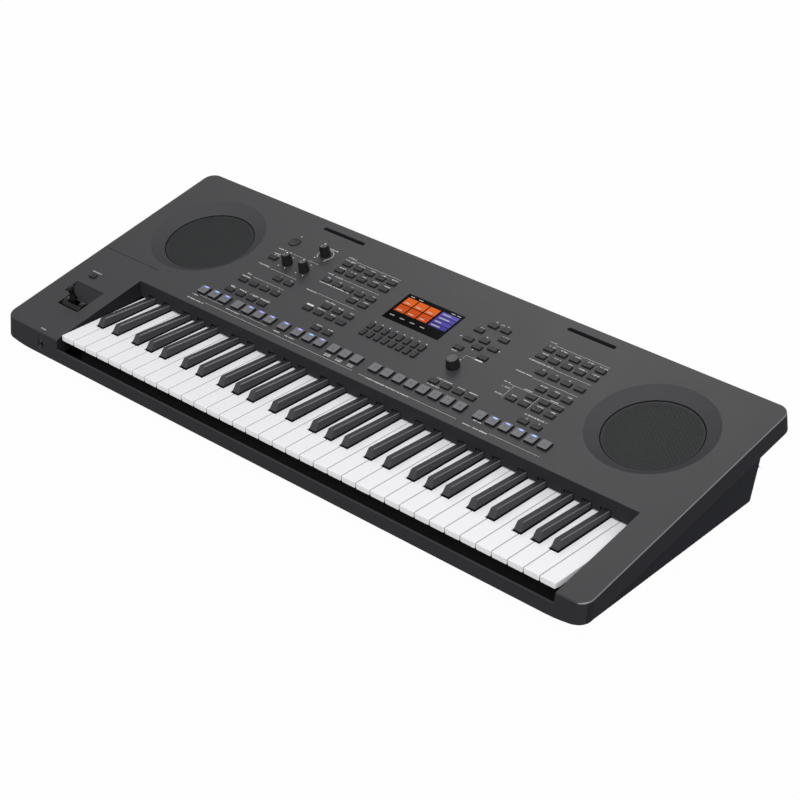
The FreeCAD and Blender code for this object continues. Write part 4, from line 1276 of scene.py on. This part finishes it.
set_strokes = strokes.node("GeometryNodeInstanceOnPoints", {}, {
    "Points": stepped, "Selection": there, "Instance": stroke_info, "Scale": sizes,
})
end_tree(strokes, set_strokes)
print("trees for print:", len(rules.nodes), "and", len(strokes.nodes), "nodes")

# %% Rules and words of the button groups
print_height = 0.05 * mm
rule_lines = [
    [(185, 344), (271, 344)], [(212, 305), (271, 305)], [(200, 278.5), (272, 278.5)], [(184, 254), (270, 254)],
    [(191.4, 253.5), (191.4, 229)], [(232.4, 253), (232.4, 228)], [(268, 219.5), (272, 219.5)],
    [(-255, 271), (-206, 271)], [(-262, 244.5), (-204, 244.5)], [(-163, 344), (-80, 344)],
    [(-148, 304.5), (-83, 304.5)], [(-158, 264), (-90, 264)], [(-296, 176), (-253, 176)], [(-216, 175), (-166, 175)],
    [(-277, 167), (-5, 167)], [(6.7, 166.5), (171, 166.5)], [(223, 167), (302, 167)],
    [(99.8, 260.7), (100.1, 268.5), (113, 268.9)], [(-252, 312), (-234, 312)], [(-222, 312), (-203, 312)],
    [(-203.6, 321), (-199.5, 323)],
]
word_lines = [
    (175, 184, 347), (173, 210, 306), (173, 198, 280), (174, 183, 255.5), (177, 188.7, 247), (178, 188.6, 232.5),
    (237, 266, 219.5), (-278, -257, 272.5), (-277, -267, 246.7), (-278, -264, 240), (-274, -267, 214.5),
    (-259, -246, 214.5), (-237, -223, 214.5), (-218, -201, 214.5), (-276, -266, 301), (-177, -164, 347),
    (-177, -160, 341), (-177, -168, 305.5), (-164, -150, 304.5), (-175, -122, 285.7), (-178, -160, 263.4),
    (-137, -120, 257.5), (-135, -122, 240.5), (-243, -218, 173.5), (-153, -142, 173.5), (-132, -115, 173.5),
    (-309, -279, 164.5), (-308, -299, 173.2), (183, 193.5, 165), (195.6, 221, 165), (190, 202.6, 176.5),
    (98.5, 122, 215), (94, 114, 200), (133.6, 144, 214.6), (152.4, 164.6, 214.6), (-278, -254, 312),
    (-214, -199, 348), (-433, -423, 7), (-470, -454, 135), (98.4, 103, 341), (78.5, 84, 322.7), (115.7, 125, 322.6),
    (76, 83, 268.4), (20, 92, 166.2), (206.5, 217.5, 256.2), (247, 258.5, 256.2),
]


def line_piece(name, lines):
    """A piece of bare edges on the panel's grid, in millimetres, for a tree to work on."""
    shape = bmesh.new()
    for line in lines:
        corners = [shape.verts.new((x * mm, s * mm, 0.0)) for x, s in line]
        for start, end in zip(corners, corners[1:]):
            shape.edges.new((start, end))
    return add_piece(name, shape)


rule_width = 0.38 * mm
ring_width = 0.8 * mm
ring_radius = 11.7
ring_start = 235.0
ring_sweep = 290.0
ring_steps = 24
volume_middle = middle_of(solids("volume_knob")[0]) / mm
ring = []
for step in range(ring_steps + 1):
    turn = math.radians(ring_start - ring_sweep * step / ring_steps)
    ring.append((volume_middle.x + ring_radius * math.cos(turn), volume_middle.y + ring_radius * math.sin(turn)))
for name, lines, width in (("printed_rules", rule_lines, rule_width), ("volume_ring", [ring], ring_width)):
    drawing = line_piece(name, lines)
    run_tree(drawing, rules_group, {"Width": width, "Height": print_height, "Finish": legend_ink})
    drawing.data.transform(panel)
    settle(drawing, "case", "case_upper", None)
print("rules:", len(rule_lines) + 1)

# %% Words behind the buttons
label_gap = 3.0 * mm
label_taper = 0.18
pad_word_half = 4.4
pad_word_rows = (174.6, 171.8)
label_rows = (
    ("song_buttons_rear", range(10), 0.72), ("voice_buttons_rear", range(10), 0.8),
    ("voice_buttons_front", (2, 3, 4, 5, 9, 10, 11), 0.72), ("voice_buttons_front", (0, 1, 12, 13, 14, 15), 0.15),
    ("style_buttons", (0, 1, 2, 3, 10), 0.6), ("style_buttons", range(4, 10), 0.15),
    ("song_buttons_middle", (0, 1, 2), 0.65), ("song_buttons_middle", range(3, 7), 0.2),
    ("song_buttons_front", (0, 1, 4, 7, 8), 0.65),
)
stroke_size = Vector((0.85, 2.0, 0.05)) * mm
print_round = (0.12 * mm, 0.01 * mm)
stroke_model = cap_model("stroke_model", stroke_size, -print_height / 2, print_height / 2, no_dish, *print_round)
for name, places, share in label_rows:
    for place in places:
        low, high = button_boxes[name][place]
        middle = (low.x + high.x) / 2
        half = share * (high.x - low.x) / 2 * (1.0 - label_taper * (place % 3))
        word_lines.append(((middle - half) / mm, (middle + half) / mm, (high.y + label_gap) / mm))
worded_pads = sorted(pad_boxes["style_pads_right"], key=lambda box: box[0].x)[-3:]
for low, high in worded_pads:
    middle = middle_of((low, high)).x / mm
    word_lines += [(middle - pad_word_half, middle + pad_word_half, s) for s in pad_word_rows]
printed_words = line_piece("printed_words", [[(start, s), (end, s)] for start, end, s in word_lines])
run_tree(printed_words, strokes_group, {
    "Stroke": stroke_model, "Step": 1.2 * mm, "Gaps": 0.12, "Seed": 7, "Finish": legend_ink,
})
printed_words.data.transform(panel)
settle(printed_words, "case", "case_upper", None)
bpy.data.objects.remove(stroke_model)
print("words:", len(word_lines))

# %% Printed dots and blocks
dot_radius = 0.95 * mm
dot_gap = 4.0
dot_places = [
    (99.8, 257.6), (90.4, 342), (109.6, 342), (67.8, 296.1), (99.7, 311.1), (99.4, 281.7), (131.6, 296.4),
    (-269.4, 348), (-244.8, 306), (-250.8, 282), (-238.8, 282.3), (-210.8, 306), (-217.6, 282.2), (-204.8, 282.5),
    (-219.5, 321.8),
]
mixer_rear_row = button_boxes["mixer_buttons"][8:]
dot_places += [(middle_of(box).x / mm, box[1].y / mm + dot_gap) for box in mixer_rear_row]
dot_foot, dot_top = -print_height, print_height / 2
dot_shape = lathe([(0.0, dot_foot), (dot_radius, dot_foot), (dot_radius, dot_top), (0.0, dot_top)], segments=12)
dot_model = add_piece("dot_model", dot_shape)
dot_spots = [Vector((x, s, 0.0)) * mm for x, s in dot_places]
printed_dots = repeat("printed_dots", dot_model, dot_spots, legend_ink, legend_ink)
settle(printed_dots, "case", "case_upper", None)
bpy.data.objects.remove(dot_model)
block_places = [((114.6, 126.7), 268.4, 2.2), ((-155.0, -143.0), 240.0, 3.0)]
for index, ((start, end), s, depth) in enumerate(block_places):
    size = Vector((end - start, depth, 0.0)) * mm
    block = cap_model("printed_block_%d" % index, size, -print_height, print_height / 2, no_dish, *print_round)
    block.data.transform(panel @ Matrix.Translation(Vector(((start + end) / 2, s, 0.0)) * mm))
    settle(block, "case", "case_upper", legend_ink)
print("dots:", len(dot_places), "blocks:", len(block_places))

# %% [markdown]
# The eight memory pads have plain numbers. Blender's own font makes them as flat text, which is turned into a mesh
# first and then carried to each pad. They move with the pads.

# %% Pad numbers
figure_height = 4.6 * mm


def figure(name, text, height, place):
    """A flat figure as a mesh, centred on a place of the panel's grid."""
    curve = bpy.data.curves.new(name, "FONT")
    curve.body = text
    curve.size = height
    curve.align_x = "CENTER"
    curve.align_y = "CENTER"
    curve.extrude = print_height / 2
    holder = bpy.data.objects.new(name + "_text", curve)
    bpy.context.scene.collection.objects.link(holder)
    graph = bpy.context.evaluated_depsgraph_get()
    mesh = bpy.data.meshes.new_from_object(holder.evaluated_get(graph), depsgraph=graph)
    bpy.data.objects.remove(holder)
    mesh.transform(panel @ Matrix.Translation(place))
    piece = bpy.data.objects.new(name, mesh)
    bpy.context.scene.collection.objects.link(piece)
    return piece


memory_pads = sorted(pad_boxes["registration_pads"], key=lambda box: box[0].x)
for number, (low, high) in enumerate(memory_pads, start=1):
    spot = middle_of((low, high)) + Vector((0.0, 0.0, high.z))
    pad_number = figure("pad_number_%d" % number, str(number), figure_height, spot)
    settle(pad_number, "registration_pads", "pad", mark_ink)
print("numbered pads:", len(memory_pads))

# %% Marks on the other pads
mark_size = Vector((0.7, 1.2, 0.05)) * mm
mark_ends = (5.6, 9.6)
mark_rise = 6.4
marked_pads = ("style_pads_left", "style_pads_right", "part_pads")
mark_model = cap_model("mark_model", mark_size, -print_height / 2, print_height / 2, no_dish, *print_round)
for name in marked_pads:
    corners = [low / mm for low, high in pad_boxes[name]]
    lines = [[(corner.x + end, corner.y + mark_rise) for end in mark_ends] for corner in corners]
    marks = line_piece(name + "_marks", lines)
    run_tree(marks, strokes_group, {
        "Stroke": mark_model, "Step": 1.1 * mm, "Gaps": 0.1, "Seed": 11, "Finish": mark_ink,
    })
    marks.data.transform(panel @ Matrix.Translation((0.0, 0.0, pad_boxes[name][0][1].z)))
    settle(marks, name, "pad", None)
bpy.data.objects.remove(mark_model)
print("pads with marks:", sum(len(pad_boxes[name]) for name in marked_pads))

# %% [markdown]
# The sockets are black mouldings with metal inside. A round nut holds each phone jack at the back, so one nut is
# turned and copied to the four places. The data sockets get tongues, and the headphone socket a low black sleeve.

# %% Rear sockets
jack_edge = 0.3 * mm
rear_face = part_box("rear_phone_jacks")[1].y
rear_grid = Matrix(((-1.0, 0.0, 0.0), (0.0, 0.0, 1.0), (0.0, 1.0, 0.0))).to_4x4()
rear_grid = Matrix.Translation((0.0, rear_face, 0.0)) @ rear_grid
jack_mounts = [mount for mount in frame["record"]["mounts"] if mount["name"].startswith("rear_socket")]
jack_places = [rear_grid.inverted() @ Vector(mount["pos_m"]) for mount in jack_mounts]
nut_loop = ((3.4, 0.0), (3.4, 2.0), (3.9, 2.4), (6.2, 2.4), (6.6, 2.0), (6.6, 0.6), (7.4, 0.5), (7.4, 0.0))
nut_model = add_piece("nut_model", ring_shape([(radius * mm, up * mm) for radius, up in nut_loop], segments=24))
smooth(nut_model)
flat_places = [Vector((place.x, place.y, 0.0)) for place in jack_places]
jack_nuts = repeat("jack_nuts", nut_model, flat_places, plated_steel, plated_steel, rear_grid)
settle(jack_nuts, "case", "socket_shell", None)
bpy.data.objects.remove(nut_model)
jack_bodies = rounded("jack_bodies", "rear_phone_jacks", jack_edge)
settle(jack_bodies, "case", "socket", shaded_lower_charcoal, "rear_phone_jacks")
print("jack nuts:", len(jack_places), "rear face at", round(rear_face, 4))

# %% Tongues of the data sockets
tongue_front = -2.0 * mm
tongue_round = (0.2 * mm, 0.2 * mm)
tongue_depth = 14.2 * mm
shell_edge = 0.15 * mm


def tongue(name, socket, width, height, lift, finish):
    """A block inside a data socket, standing on its inner wall."""
    low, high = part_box(socket)
    middle = rear_grid.inverted() @ ((low + high) / 2)
    size = Vector((width, height, 0.0)) * mm
    block = cap_model(name, size, -tongue_depth, tongue_front, no_dish, *tongue_round)
    block.data.transform(rear_grid @ Matrix.Translation((middle.x, middle.y + lift * mm, 0.0)))
    settle(block, "case", "socket_shell", finish)


tongue("host_tongue", "usb_host_socket", width=11.2, height=1.9, lift=1.6, finish=socket_black)
tongue("host_contacts", "usb_host_socket", width=7.4, height=0.3, lift=0.6, finish=gold_contact)
tongue("device_tongue", "usb_device_socket", width=5.6, height=3.1, lift=0.0, finish=pointer_white)
shell_nodes = ("usb_host_socket", "usb_device_socket", "dc_inlet")
for name in shell_nodes:
    shell = rounded(name + "_rounded", name, shell_edge)
    settle(shell, "case", slot_of[name], carried_finish[slot_of[name]], name)
print("socket shells:", len(shell_nodes))

# %% Headphone sleeve
sleeve_mount = next(mount for mount in frame["record"]["mounts"] if mount["name"] == "headphone_socket")
half_length = sleeve_mount["dims"]["length_mm"] * mm / 2
sleeve_front = Vector(sleeve_mount["pos_m"]) + Vector(sleeve_mount["axis"]) * half_length
front_grid = Matrix(((1.0, 0.0, 0.0), (0.0, 0.0, -1.0), (0.0, 1.0, 0.0))).to_4x4()
sleeve_loop = ((3.3, -0.3), (3.3, 0.3), (3.6, 0.7), (4.6, 0.7), (5.0, 0.4), (5.0, -0.3))
sleeve_shape = ring_shape([(radius * mm, up * mm) for radius, up in sleeve_loop], segments=32)
sleeve = add_piece("headphone_sleeve", sleeve_shape, Matrix.Translation(sleeve_front) @ front_grid)
smooth(sleeve)
settle(sleeve, "case", "socket_shell", socket_black)
print("headphone sleeve at", tuple(round(value, 4) for value in sleeve_front))

# %% [markdown]
# Underneath there are six rubber feet and ten screws that hold the two halves together. A foot is turned with a
# rounded rim and a sunk middle. A screw is a low dome with a six-sided recess: the same lathe makes it, because a
# ring of points can be pulled in to the sides of a polygon. Both are modelled once and copied by the tree for
# copies.

# %% Feet and screws
floor_grid = Matrix.Identity(4)
feet_boxes = solids("rubber_feet", floor_grid)
foot_profile = (
    (0.0, 0.8), (4.0, 0.8), (4.8, 0.3), (5.4, 0.0), (9.8, 0.0), (10.7, 0.4), (11.0, 1.2), (11.0, 4.0), (0.0, 4.0),
)
foot_model = add_piece("foot_model", lathe([(radius * mm, up * mm) for radius, up in foot_profile], segments=40))
smooth(foot_model)
feet = repeat("feet", foot_model, [middle_of(box) for box in feet_boxes], rubber, rubber, floor_grid)
settle(feet, "case", "foot", None, "rubber_feet")
bpy.data.objects.remove(foot_model)

screw_boxes = solids("case_screws")
screw_profile = (
    (0.0, 1.4), (1.5, 1.4, 6), (1.5, 0.3, 6), (2.0, 0.05), (2.6, 0.2), (3.1, 0.6), (3.4, 1.2), (3.4, 2.2), (1.6, 2.2),
    (1.6, 17.0), (0.0, 18.0),
)
screw_shape = lathe([(ring[0] * mm, ring[1] * mm, *ring[2:]) for ring in screw_profile], segments=24)
screw_model = add_piece("screw_model", screw_shape)
smooth(screw_model)
screw_places = [middle_of(box) + Vector((0.0, 0.0, box[0].z)) for box in screw_boxes]
screws = repeat("screws", screw_model, screw_places, dark_steel, dark_steel)
settle(screws, "case", "screw", None, "case_screws")
bpy.data.objects.remove(screw_model)
print("feet:", len(feet_boxes), "screws:", len(screw_boxes))

# %% Sizes before and after dressing
visual_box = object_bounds()
boxes = {"cad": [list(corner) for corner in cad_box], "visual": [list(corner) for corner in visual_box]}
print("visual box:", [tuple(round(value, 4) for value in corner) for corner in visual_box])
